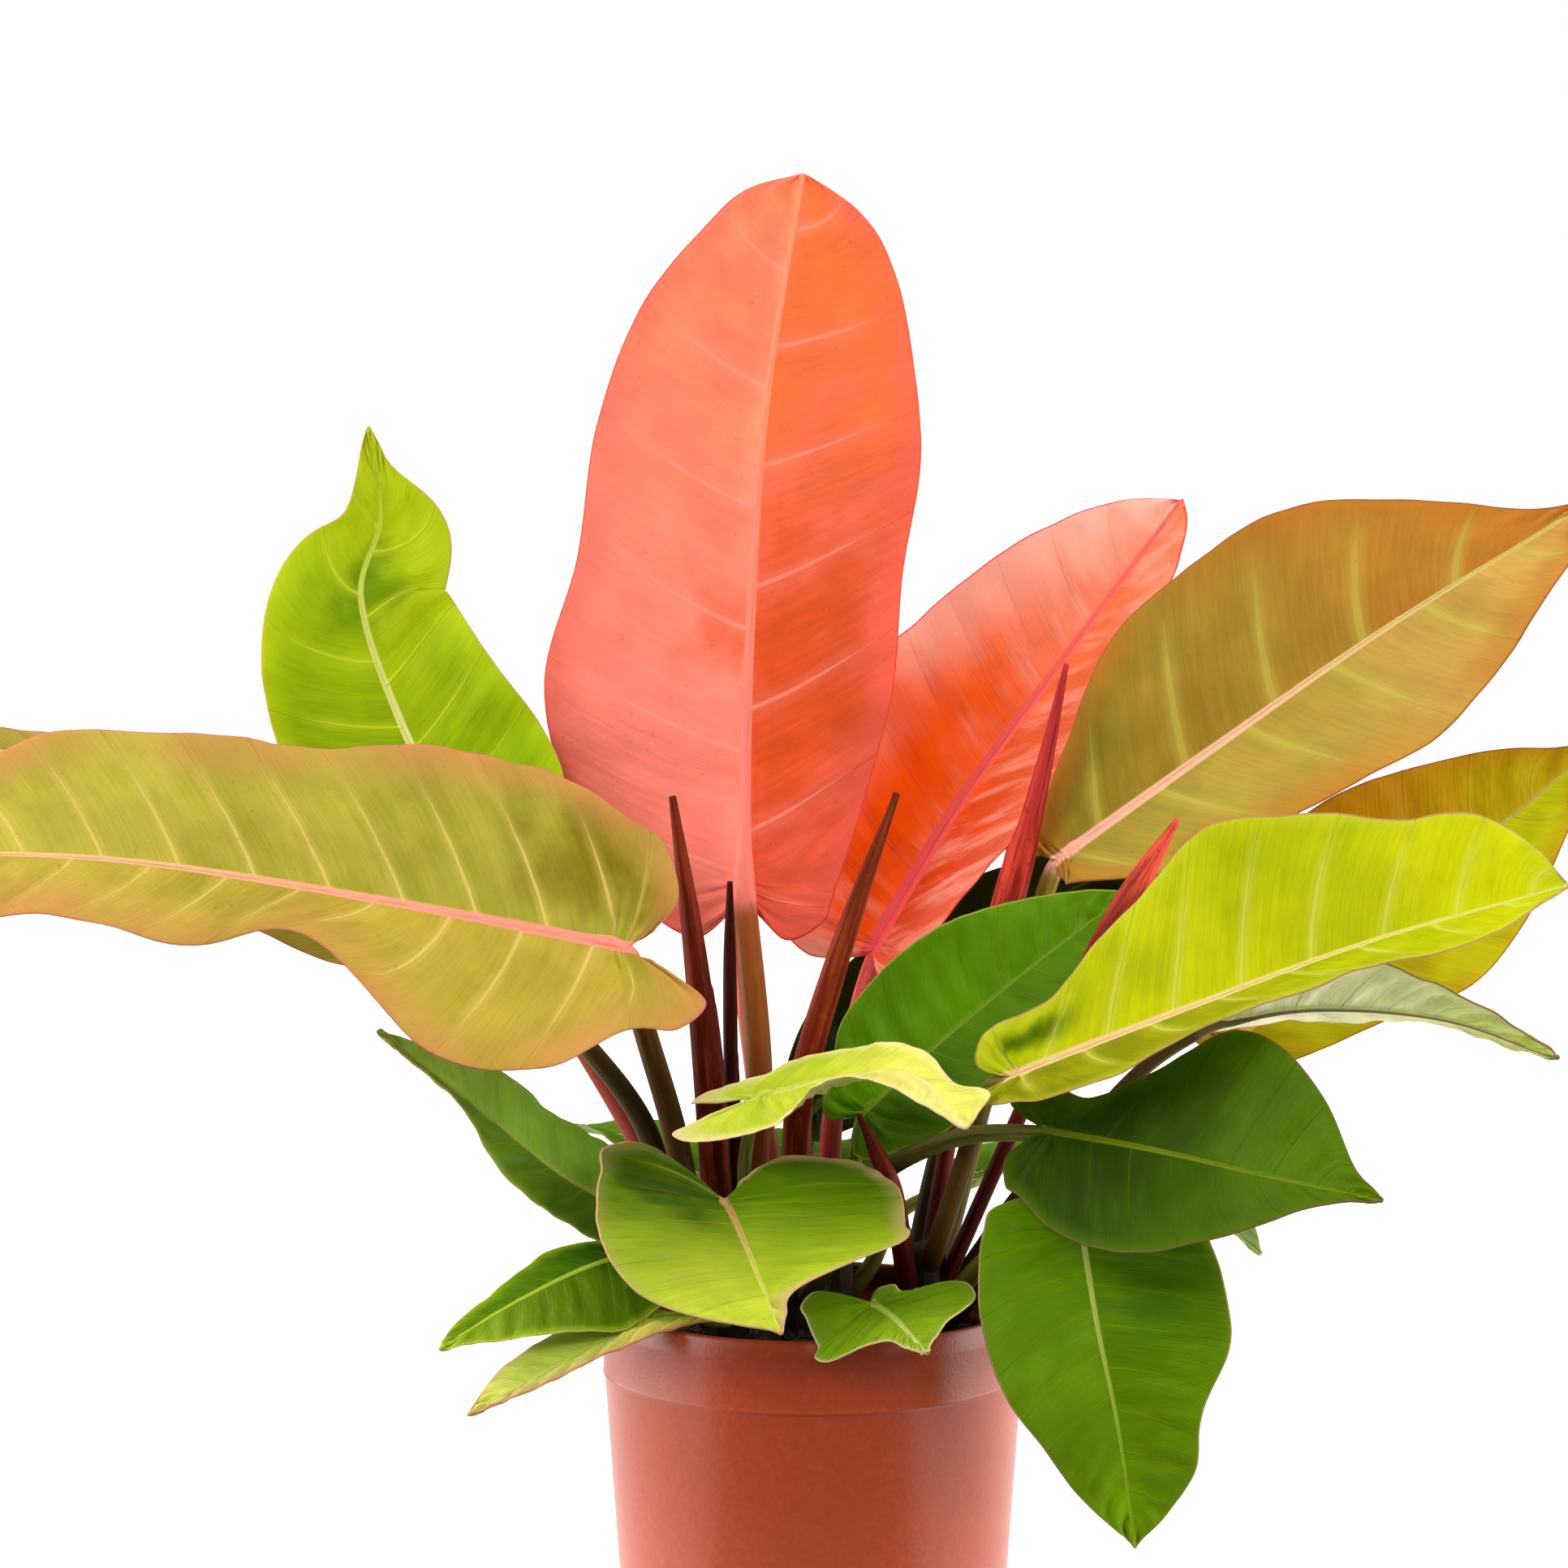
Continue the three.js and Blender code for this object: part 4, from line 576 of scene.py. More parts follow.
# Blades: thickness and relief in mm, and places as shares of the half's width or the midrib's length
bladeShape = {
    "thickness": 0.9, "rimTaper": 0.03, "rowsPerStep": 9, "outerColumns": 11, "rimColumns": [0.965, 0.99, 1.0],
    "ribColumns": [0.0, 0.3, 0.6, 0.85], "lobeCorners": [(0.16, 0.5), (0.48, 1), (0.88, 0.62)],
    "lobeRoot": 0.02, "lobeFoldReach": 0.15, "lobeVeinStep": 0.05, "veinSweep": 1.22, "veinArch": 1.15,
    "veinLean": 0.07, "veinOffset": 0.35, "groove": 0.3, "grooveWidth": 0.03, "ribTaper": 0.75, "ribLimit": 0.3,
    "ribDepth": 0.7, "ribFade": 0.8, "crest": 0.16, "crestWidth": 0.7, "firstRows": 0.3, "ribPoints": 241,
    "ribSteps": 60, "columnPower": 0.95, "rippleEnds": (4, 3), "leanPower": 1.3, "phaseShift": 20,
    "reliefStart": (0.02, 0.25), "reliefEnd": (0.7, 1.0), "quiltRise": (0.02, 0.4), "quiltSink": 0.6,
    "bump": 0.0004, "ior": 1.3, "seedStep": 1.7}
edgeWaves = {"count": 5, "size": 1.1, "fullLength": 260, "turns": (3, 16), "shift": 6.3, "fade": 0.22, "skew": 3}
skinWaves = {"count": 4, "size": 0.35, "turns": (4, 11), "shift": 3}


# The midrib's even points, and its centre, side and upward directions at any part of its length
class Rib:
    def __init__(self, leaf):
        points = smoothLine(leaf["rib"], np.linspace(0, len(leaf["rib"]) - 1, bladeShape["ribPoints"]))
        run = np.concatenate([[0], np.cumsum(np.linalg.norm(np.diff(points, axis=0), axis=1))])
        self.length = run[-1]
        self.steps = bladeShape["ribSteps"]
        even = np.linspace(0, self.length, self.steps + 1)
        self.even = np.stack([np.interp(even, run, points[:, k]) for k in range(3)], 1)
        self.faces = np.array(leaf["faces"], float)
        self.halfWidth = leaf["stalk"][3]

    def point(self, step):
        i = np.clip(np.floor(step).astype(int), 0, self.steps - 1)
        u = (step - i)[..., None]
        return self.even[i] * (1 - u) + self.even[i + 1] * u

    def at(self, part):
        part = np.asarray(part, float)
        held = np.clip(part, 0, 1)
        step = held * self.steps
        along = unit(self.point(np.minimum(step + 2, self.steps)) - self.point(np.maximum(step - 2, 0)))
        face = self.faces[0] * (1 - held[..., None]) + self.faces[-1] * held[..., None]
        up = unit(face - along * (face * along).sum(-1, keepdims=True))
        centre = self.point(step) + along * (np.minimum(part, 0) * self.length)[..., None]
        return centre, np.cross(along, up), up

    def half(self, part):
        return self.halfWidth * (1 - bladeShape["ribTaper"] * np.clip(part, 0, 1))


# The margin of one half: round its lobe, past the stations and on to the tip
def marginPoints(leaf, length, side):
    widths = list(leaf["left"] if side < 0 else leaf["right"])
    for dentSide, station, amount in leaf["dents"]:
        if dentSide == side:
            widths[station] += amount
    reach = leaf["lobes"][0 if side < 0 else 1]
    lobe = [(share * widths[0], -drop * reach) for share, drop in bladeShape["lobeCorners"]]
    return lobe + [(width, part * length) for width, part in zip(widths, stations)] + [(0, length)]


def roundShare(v, width):
    return np.sqrt(np.clip(1 - (v / np.maximum(width, 1e-6)) ** 2, 0, 1))


# One half of a blade: for every row and column its place, thickness and colouring values
def bladeHalf(leaf, rib, side, steps, seed):
    rng = random.Random(seed)
    shape = bladeShape
    t = steps[:, None]
    edge = smoothLine(marginPoints(leaf, rib.length, side), steps)
    reach, edgeY = np.maximum(edge[:, :1], 0), edge[:, 1:]
    lobeSpan = len(shape["lobeCorners"])
    root = shape["lobeRoot"]
    sweep = root + (1 - root) * np.maximum(edgeY / rib.length, 0) ** shape["veinSweep"]
    start = np.clip(np.where(t < lobeSpan, root * t / lobeSpan, sweep), 0, 1)
    ribHalf = rib.half(start)
    ribEdge = np.minimum(ribHalf / np.maximum(reach, 1e-3), shape["ribLimit"])
    outer = np.linspace(0, 1, shape["outerColumns"]) ** shape["columnPower"]
    outer = np.concatenate([outer[:-1], shape["rimColumns"]])
    v = np.concatenate([ribEdge * shape["ribColumns"], ribEdge + (1 - ribEdge) * outer], axis=1)
    x = v * reach
    y = start * rib.length + (edgeY - start * rib.length) * v ** shape["veinArch"]
    part = y / rib.length
    held = np.clip(part, 0, 1)
    centre, across, up = rib.at(part)
    lobe, base, tip = leaf["fold"]
    lobeShare = np.clip(-part / shape["lobeFoldReach"], 0, 1)
    angle = np.radians(base + (tip - base) * held + (lobe - base) * lobeShare)
    height = x * np.sin(angle)
    for waveSide, middle, spread, amount in leaf["waves"]:
        if waveSide == side:
            height += amount * v ** 2 * np.exp(-((part - middle) / spread) ** 2)
    amount, count, turn = leaf["ripple"]
    baseRise, tipRise = shape["rippleEnds"]
    ends = np.minimum(baseRise * held, 1) * np.minimum(tipRise * (1 - held), 1)
    height += amount * v ** 2 * np.sin(2 * np.pi * count * held + turn + side) * ends
    # side veins: a shallow groove at each, and a soft rise between them
    order = np.where(t < lobeSpan, (t - lobeSpan) * shape["lobeVeinStep"], start)
    veinPlace = order - shape["veinLean"] * v ** shape["leanPower"]
    veinPhase = leaf["veins"] * veinPlace + (shape["veinOffset"] if side > 0 else 0.0) + shape["phaseShift"]
    nearVein = np.abs(veinPhase % 1 - 0.5)
    inside = ease(v, *shape["reliefStart"]) * (1 - ease(v, *shape["reliefEnd"]))
    height += leaf["quilt"] * inside * (ease(nearVein, *shape["quiltRise"]) - shape["quiltSink"])
    height -= shape["groove"] * inside * np.exp(-(nearVein / shape["grooveWidth"]) ** 2)
    # small waves along the margin, and a slight unevenness inside it
    for k in range(edgeWaves["count"]):
        turns = rng.uniform(*edgeWaves["turns"])
        size = edgeWaves["size"] * min(1, rib.length / edgeWaves["fullLength"]) / (1 + edgeWaves["fade"] * turns)
        shift = rng.uniform(0, edgeWaves["shift"])
        height += size * v ** 2 * np.sin(
            2 * np.pi * turns * part + shift + edgeWaves["skew"] * v * rng.uniform(-1, 1))
    for k in range(skinWaves["count"]):
        bend = rng.uniform(*skinWaves["turns"]) * veinPlace * 2 + rng.uniform(-1, 1) * v
        height += skinWaves["size"] * inside * np.sin(leaf["quilt"] * skinWaves["shift"] + 2 * np.pi * bend)
    place = centre + side * (x * np.cos(angle))[..., None] * across + height[..., None] * up
    # the midrib stands out below, with a low crest above
    thick = shape["thickness"] / 2 * np.clip((1 - v) / shape["rimTaper"], 0, 1) ** 0.5
    depth = shape["ribDepth"] * rib.halfWidth * (1 - shape["ribFade"] * t / steps[-1])
    below = thick + depth * roundShare(v, ribEdge)
    above = thick + shape["crest"] * depth * roundShare(v, shape["crestWidth"] * ribEdge)
    opening = ease(t, 0, shape["firstRows"])
    values = {"Across": side * v, "Part": np.broadcast_to(order, v.shape), "Phase": veinPhase,
              "Edge": (1 - v) * reach, "Rib": x / ribHalf}
    return place, above * opening, below * opening, values


def gridNormals(grid):
    rise = grid[1:, 1:] - grid[:-1, :-1]
    fall = grid[1:, :-1] - grid[:-1, 1:]
    quads = np.cross(rise, fall)
    normals = np.zeros_like(grid)
    for i in (slice(None, -1), slice(1, None)):
        for j in (slice(None, -1), slice(1, None)):
            normals[i, j] += quads
    normals[-1] = normals[-1].sum(0)
    return unit(normals)


# Both halves joined at the midrib, with an upper and a lower skin that meet in the margin
def buildBlade(leaf, rib, seed):
    spans = len(bladeShape["lobeCorners"]) + len(stations)
    steps = np.linspace(0, spans, spans * bladeShape["rowsPerStep"] + 1)
    left, right = [bladeHalf(leaf, rib, side, steps, seed + side) for side in (-1, 1)]

    def join(a, b):
        return np.concatenate([a[:, :0:-1], b], axis=1)

    grid, above, below = [join(a, b) for a, b in zip(left[:3], right[:3])]
    values = {label: join(left[3][label], right[3][label]) for label in left[3]}
    normals = gridNormals(grid)
    rows, columns = grid.shape[:2]
    middle = columns // 2
    top = grid + normals * above[..., None]
    bottom = grid - normals * below[..., None]
    # point numbers: the lower skin shares the first row and both margins with the upper one
    upper = np.arange((rows - 1) * columns).reshape(rows - 1, columns)
    tip = upper.size
    inner = (slice(1, rows - 1), slice(1, columns - 1))
    count = (rows - 2) * (columns - 2)
    lower = upper.copy()
    lower[inner] = tip + 1 + np.arange(count).reshape(rows - 2, columns - 2)
    vertices = np.concatenate([top[:-1].reshape(-1, 3), top[-1:, middle], bottom[:-1][inner].reshape(-1, 3)])
    data = {label: np.concatenate([v[:-1].ravel(), v[-1:, middle], v[:-1][inner].ravel()])
            for label, v in values.items()}
    data["Face"] = np.concatenate([np.ones(tip + 1), np.zeros(count)])
    rings = np.concatenate([upper, lower[:, -2:0:-1]], axis=1).tolist()
    return vertices, ringFaces(rings + [[tip] * len(rings[0])]), data


# A round body along a line, with a radius at each ring and a swell at each of its points
def tubeBody(line, radii, sides, swell):
    along = unit(np.gradient(line, axis=0))
    across = np.cross(along[0], (0.1, 1, 0.3))
    turns = circle(sides)
    rings = []
    for k, reach in enumerate(radii[:, None] * swell):
        across = across - along[k] * (across @ along[k])
        across = across / np.linalg.norm(across)
        upward = np.cross(along[k], across)
        rings.append(line[k] + reach[:, None] * (np.cos(turns)[:, None] * across + np.sin(turns)[:, None] * upward))
    vertices = np.concatenate(rings + [line[:1], line[-1:]])
    foot = len(line) * sides
    numbers = np.arange(foot).reshape(-1, sides).tolist()
    faces = ringFaces([[foot] * sides] + numbers + [[foot + 1] * sides])
    turn = np.concatenate([np.tile(np.abs(turns / np.pi - 1), len(line)), [0, 0]])
    part = np.concatenate([np.repeat(np.linspace(0, 1, len(line)), sides), [0, 1]])
    return vertices, faces, {"Part": part, "Turn": turn}


# The stalk runs from its stem base past its bends and on under the midrib, where it sinks in and fades out.
# underRib: each point's place along the midrib, and by what share of which radius, less a little, it lies below.
stalkShape = {
    "inset": 4, "reach": 6, "sink": 5, "rise": 9, "sides": 16, "ringsPerSpan": 12, "flutes": 3, "fluteDepth": 0.03,
    "twist": 0.6, "underRib": [(0, 1, 3, 0.4), (0.1, 1, 4, 0.2), (0.22, 0.5, 4, 0), (0.34, 0.3, 4, 0)],
    "fadeOut": (0.5, 0.15), "streakShare": 0.6, "rough": 0.36, "bump": 0.0003, "specular": 0.2, "ior": 1.3,
    "seedStep": 2.3}


def buildStalk(leaf, rib):
    crownName, bearing, height = leaf["root"]
    x, y, footRadius = crowns[crownName][:3]
    outward = np.array([math.cos(math.radians(bearing)), math.sin(math.radians(bearing)), 0])
    foot = np.array([x, y, height - stalkShape["sink"]]) + stalkShape["inset"] * outward
    rise = np.array([x, y, height + stalkShape["rise"]]) + (footRadius + stalkShape["reach"]) * outward
    radii = leaf["stalk"]
    path = [foot, rise] + [np.array(b, float) for b in leaf["bends"]]
    for part, share, number, less in stalkShape["underRib"]:
        centre, _, up = rib.at(part)
        path.append(centre - up * (share * radii[number] - less))
    spans = len(path) - 1
    join = spans - 3    # three spans lie under the midrib, and the fourth radius is where they start
    steps = np.linspace(0, spans, spans * stalkShape["ringsPerSpan"] + 1)
    line = smoothLine(path, steps)
    fadeOut = radii + [share * radii[-1] for share in stalkShape["fadeOut"]]
    widths = smoothLine(fadeOut, np.where(steps < join, 3 * steps / join, steps - join + 3))[:, 0]
    twist = stalkShape["twist"] * np.arange(len(line))[:, None] / len(line)
    swell = 1 + stalkShape["fluteDepth"] * np.sin(stalkShape["flutes"] * circle(stalkShape["sides"]) + twist)
    vertices, faces, data = tubeBody(line, widths, stalkShape["sides"], swell)
    data["Part"] = np.clip(data["Part"] * spans / join, 0, 1)
    return vertices, faces, data


def leafPiece(name, leaf, seed):
    rib = Rib(leaf)
    vertices, faces, data = buildBlade(leaf, rib, seed)
    stalkVertices, stalkFaces, stalkData = buildStalk(leaf, rib)
    base = len(vertices)
    allFaces = faces + [tuple(n + base for n in face) for face in stalkFaces]
    index = [0] * len(faces) + [1] * len(stalkFaces)
    values = {label: np.concatenate([data.get(label, np.zeros(base)), stalkData.get(
        label, np.zeros(len(stalkVertices)))]) for label in {**data, **stalkData}}
    if leaf["shows"] == "under":
        values["Face"] = 1 - values["Face"]
    tints = {label.capitalize(): tone(*leaf[label][:3]) for label in (
        "patch", "streak", "margin", "line", "vein", "under", "shade")}
    for label in ("patch", "streak", "margin", "vein", "shade"):
        tints[label.capitalize() + " Share"] = leaf[label][3]
    for label, key in (("Left", "leftTones"), ("Right", "rightTones"), ("Rib", "ribTones")):
        tints[label + " Base"], tints[label + " Tip"] = [tone(*t) for t in leaf[key]]
    tints["Shade Part"], tints["Shade Across"], tints["Shade Reach"] = leaf["shade"][4:]
    tints.update({
        "Margin Width": leaf["margin"][4], "Margin Right": leaf["marginRight"], "Vein Width": leaf["veinWidth"],
        "Vein Halo": leaf["halo"], "Rib Width": leaf["ribWidth"], "Speck Share": leaf["speck"],
        "Seed": seed * bladeShape["seedStep"]})
    blade = shader(name + "_blade", leafTint, leafFields, tints, leaf["rough"], bladeShape["bump"], leaf["specular"],
                   bladeShape["ior"])
    stalkTones = leaf["stalkTones"] + leaf["ribTones"][:1]
    stalk = stalkSkin(name + "_stalk", stalkShape, stalkTones, leaf["stalkStreak"], seed)
    flat = np.stack([0.5 + 0.5 * values["Across"], values["Part"]], 1)
    piece = meshPiece(name + "_leaf", np.concatenate([vertices, stalkVertices]), allFaces, [blade, stalk], index,
                      values, flat)
    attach(piece, "root")
    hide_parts(name)


for seed, (name, leaf) in enumerate(leaves.items(), 1):
    leafPiece(name, {**plainLeaf, **leaf}, seed)
print("leaves", len(leaves))

# Rolled young leaves: a tube with one overlapping edge that winds round it
rolls = {
    "spike_left": dict(
        line=[(-38.6, 9.2, 172), (-42, 5, 240), (-48, 4, 300), (-57, 0, 364)], radii=[6.5, 7, 5.2, 1.6],
        tones=[(36, 4, 0), (84, 18, 4), (100, 28, 14)], streak=(142, 52, 28), slot="leaf_maroon"),
    "spike_middle": dict(
        line=[(-29, 13, 174), (-33, 13, 235), (-34, 14, 290), (-34, 13, 328)], radii=[3.4, 3.4, 3, 1.2],
        tones=[(40, 8, 2), (70, 18, 6), (62, 16, 6)], streak=(44, 10, 4), slot="leaf_maroon"),
    "spike_right": dict(
        line=[(-6, 20, 172), (-6, 2, 236), (9, -8, 296), (33, -18, 367)], radii=[6, 6.2, 5.2, 1.6],
        tones=[(50, 8, 2), (110, 30, 8), (104, 32, 12)], streak=(158, 66, 34), slot="leaf_maroon"),
    "spike_red": dict(
        line=[(39, 9, 158), (33, -13, 200), (27, -19, 218), (18, -24, 238)], radii=[4.6, 4.8, 4, 1.2],
        tones=[(56, 16, 8), (126, 44, 28), (96, 30, 18)], streak=(70, 18, 10), slot="leaf_coral"),
    "rolled_coral": dict(
        line=[(47, 17, 172), (62, 30, 250), (80, 32, 316), (91, 27, 360), (103, 23, 416)],
        radii=[4, 4.2, 7, 4.6, 1.2], tones=[(44, 12, 8), (216, 66, 48), (190, 52, 50)], streak=(96, 14, 16),
        slot="leaf_coral"),
    "rolled_red": dict(
        line=[(52, 11, 158), (86, -4, 240), (108, -6, 287), (127, -9, 324), (146, -12, 356)],
        # its top tone is painted light, for the lit upper end of the roll
        radii=[3.6, 3.6, 5.6, 6, 1.2], tones=[(40, 12, 6), (136, 36, 22), (236, 86, 66)], streak=(96, 28, 18),
        slot="leaf_coral"),
}
rollShape = {"sides": 28, "rings": 72, "overlap": 0.14, "winding": 0.8, "streakShare": 0.75, "rough": 0.36,
             "bump": 0.0003, "specular": 0.16, "ior": 1.3, "turnStep": 0.1, "seedStep": 3.1}


# The rolled leaves and the stem bases are one tube each
def tubePiece(name, tube, skin):
    vertices, faces, data = tube
    return meshPiece(name, vertices, faces, [skin], None, data, np.stack([data["Turn"], data["Part"]], 1))


def rollPiece(name, roll, seed):
    part = np.linspace(0, 1, rollShape["rings"])
    line = smoothLine(roll["line"], part * (len(roll["line"]) - 1))
    radii = smoothLine(roll["radii"], part * (len(roll["radii"]) - 1))[:, 0]
    turns = circle(rollShape["sides"]) / (2 * np.pi)
    wound = (turns - rollShape["winding"] * part[:, None] - rollShape["turnStep"] * seed) % 1
    tube = tubeBody(line, radii, rollShape["sides"], 1 - rollShape["overlap"] * wound)
    skin = stalkSkin(name + "_skin", rollShape, roll["tones"] + roll["tones"][2:], roll["streak"], seed)
    piece = tubePiece(name + "_roll", tube, skin)
    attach(piece, "root")
    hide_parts(name)


for seed, (name, roll) in enumerate(rolls.items(), 1):
    rollPiece(name, roll, seed)
print("rolled leaves", len(rolls))


# Stem bases: ribbed, with the steps of old sheath edges. Their near-black tones are painted shade, deep among the
# stalks.
crownShape = {
    "foot": 100, "gap": 0.3, "topGap": 0.4, "sides": 48, "rings": 40, "ribs": 9, "ribDepth": 0.07, "sheathStep": 9,
    "sheathDepth": 0.03, "tones": [(20, 12, 6), (36, 24, 10), (50, 36, 16), (50, 36, 16)], "streak": (20, 8, 4),
    "streakShare": 0.8, "rough": 0.6, "bump": 0.0006, "specular": 0.2, "ior": 1.5, "shift": 6, "ribTwist": 0.02,
    "rounding": (0.03, 0.02), "firstSeed": 30, "seedStep": 1.3}


def crownPiece(name, crown, seed):
    x, y, footRadius, topRadius, top = crown
    shift = random.Random(seed).uniform(0, crownShape["shift"])
    part = np.linspace(0, 1, crownShape["rings"])
    foot = crownShape["foot"]
    height = foot + (top - crownShape["topGap"] - foot) * part
    roundedPart, smallest = crownShape["rounding"]
    rounding = np.sqrt(np.clip((1 - part) / roundedPart, smallest, 1))
    radii = (footRadius + (topRadius - footRadius) * part - crownShape["gap"]) * rounding
    line = np.stack([np.full_like(height, x), np.full_like(height, y), height], 1)
    level = height[:, None]
    turns = crownShape["ribs"] * circle(crownShape["sides"])
    ribs = 0.5 + 0.5 * np.sin(turns + shift + crownShape["ribTwist"] * level)
    swell = 1 - crownShape["ribDepth"] * ribs - crownShape["sheathDepth"] * (level / crownShape["sheathStep"] % 1)
    tube = tubeBody(line, radii, crownShape["sides"], swell)
    skin = stalkSkin(name + "_bark", crownShape, crownShape["tones"], crownShape["streak"], seed)
    piece = tubePiece(name + "_base", tube, skin)
    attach(piece, "root")
    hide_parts(name)


for seed, (name, crown) in enumerate(crowns.items(), crownShape["firstSeed"]):
    crownPiece("crown_" + name, crown, seed)

# Pot: turned profile (radius, height) with the fine raised line and the chamfered lip
potLook = {
    "sides": 192, "rough": 0.24, "bump": 0.0001,
    "noises": {
        "waver": (9.0, 3.0), "dust": (160.0, 3.0, 0.7), "mottle": (420.0, 3.0, 0.6), "grain": (700.0, 3.0, 0.6)},
    "ramps": {
        "foot": (0.0, 0.11, 0.55, 0.0), "lip": (0.118, 0.15, 0.0, 0.75), "inside": (0.081, 0.0822, 1.0, 0.0),
        "insideShade": (0.135, 0.142), "dust": (0.56, 0.75, 0.0, 0.16), "mottle": (0.3, 0.7, 0.93, 1.05)},
    "waver": 0.05, "insideShadeShare": 0.85, "mottleDull": 0.12,
    "tones": {"Body": (176, 66, 26), "Deep Shade": (142, 46, 14), "Pale Light And Dust": (204, 104, 80), "Inside Shade": (40, 14, 6)},
    "profile": [
        (0, 0), (60, 0), (73.6, 0), (74.6, 0.2), (75.5, 0.8), (76, 1.7), (76.6, 10), (85.05, 128.4), (85.25, 128.9),
        (85.75, 129.3), (85.85, 129.9), (85.7, 130.5), (85.6, 131), (85.95, 149.4), (85.95, 150.2), (84.2, 156.6),
        (83.7, 157.4), (82.7, 157.95), (81.9, 157.8), (81.3, 157.1), (81, 156), (80.9, 150), (80.6, 140), (74, 3),
        (0, 3)]}


# Lighter at the foot as painted light from the floor, deeper under the lip as painted shade below the leaves, darker on
# the inside above the soil as painted shade, and a little dust
def makePotTint():
    n = Tint("potTint", list(potLook["tones"]), [], potLook)
    g = n.given
    place = n.place()
    x, y, z = n.add("SeparateXYZ", {0: place}).outputs
    level = n.plus(z, n.times(n.minus(n.cloud("waver", place), 0.5), potLook["waver"]))
    # painted light: lighter towards the foot; painted shade: deeper under the lip
    colour = n.mix(n.limit("foot", level), g["Body"], g["Pale Light And Dust"])
    colour = n.mix(n.limit("lip", level), colour, g["Deep Shade"])
    # painted shade: darker on the inside wall above the soil
    inside = n.limit("inside", n.length(n.vector(x, y, 0.0)))
    colour = n.mix(n.times(inside, n.limit("insideShade", level), potLook["insideShadeShare"]), colour, g["Inside Shade"])
    colour = n.mix(n.mark("dust", place), colour, g["Pale Light And Dust"])
    mottle = n.cloud("mottle", place)
    colour = n.dim(colour, n.limit("mottle", mottle))
    return n.finish(colour, n.cloud("grain", place), n.times(mottle, potLook["mottleDull"]))


def turnedBody(profile, sides):
    vertices, rings = [], []
    for r, z in profile:
        if r == 0:
            rings.append([len(vertices)] * sides)
            vertices.append((0, 0, z))
            continue
        rings.append(list(range(len(vertices), len(vertices) + sides)))
        vertices += [(r * math.cos(a), r * math.sin(a), z) for a in circle(sides)]
    return np.array(vertices), ringFaces(rings)


potTones = {label: tone(*value) for label, value in potLook["tones"].items()}
potSkin = shader("pot_skin", makePotTint(), [], potTones, potLook["rough"], potLook["bump"])
pot = meshPiece("pot_body", *turnedBody(potLook["profile"], potLook["sides"]), [potSkin])
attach(pot, "root")
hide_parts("pot")
print("pot")

# Soil: an uneven top with loose crumbs of peat and bark
soilLook = {    # lengths in mm. foot is the radius and height of the bed's lower edge.
    "top": 140.3, "radius": 80.1, "rings": 70, "sides": 200, "waves": 26, "waveHeight": 0.28, "foot": (73.4, 3.5),
    "waveTurns": (-0.5, 0.5), "bedSeed": 7, "crumbs": 2600, "crumbSize": (0.8, 2.4), "crumbFlatness": (0.6, 1.0),
    "crumbCorner": (0.7, 1.25), "crumbRise": (-0.3, 1.1), "crumbLift": 0.3, "crumbReach": 79.3, "crumbLimit": 80,
    "crumbSeed": 11, "largestTurn": 6.3, "crack": (8, 5, 3), "rough": 0.85, "grainDull": 0.1,
    "bedBump": 0.0012, "crumbBump": 0.0008,
    "bedTones": ((30, 20, 14), (56, 34, 20)), "crumbTones": ((36, 24, 16), (84, 46, 26)),
    "noises": {"grain": (320.0, 4.0, 0.7), "clumps": (150.0,)},
    "ramps": {"clumps": (0.52, 0.62), "cracks": (0.35, 0.6, 0.5, 0.0)}}


def makeSoilTint():
    n = Tint("soilTint", ["Peat", "Bark"], [], soilLook)
    place = n.place()
    grain = n.cloud("grain", place)
    colour = n.mix(n.mark("clumps", place), n.given["Peat"], n.given["Bark"])
    colour = n.mix(n.limit("cracks", grain), colour, tone(*soilLook["crack"]))
    return n.finish(colour, grain, n.times(grain, soilLook["grainDull"]))


def soilSkin(name, tones, bumpDepth):
    values = {label: tone(*value) for label, value in zip(("Peat", "Bark"), tones)}
    return shader(name, soilTint, [], values, soilLook["rough"], bumpDepth)


def soilBed():
    rng = np.random.default_rng(soilLook["bedSeed"])
    radii = np.linspace(0, 1, soilLook["rings"]) * soilLook["radius"]
    foot = soilLook["foot"]
    profile = [(r, soilLook["top"]) for r in radii] + [foot, (0, foot[1])]
    vertices, faces = turnedBody(profile, soilLook["sides"])
    top = vertices[1:-1 - soilLook["sides"]]    # all but the middle point, the foot's ring and its middle
    for k in range(soilLook["waves"]):
        fx, fy = rng.uniform(*soilLook["waveTurns"]), rng.uniform(*soilLook["waveTurns"])
        turn = rng.uniform(0, soilLook["largestTurn"])
        top[:, 2] += soilLook["waveHeight"] * np.sin(fx * top[:, 0] + fy * top[:, 1] + turn)
    return vertices, [face[:1] + face[:0:-1] for face in faces]    # turned round, as the profile runs down


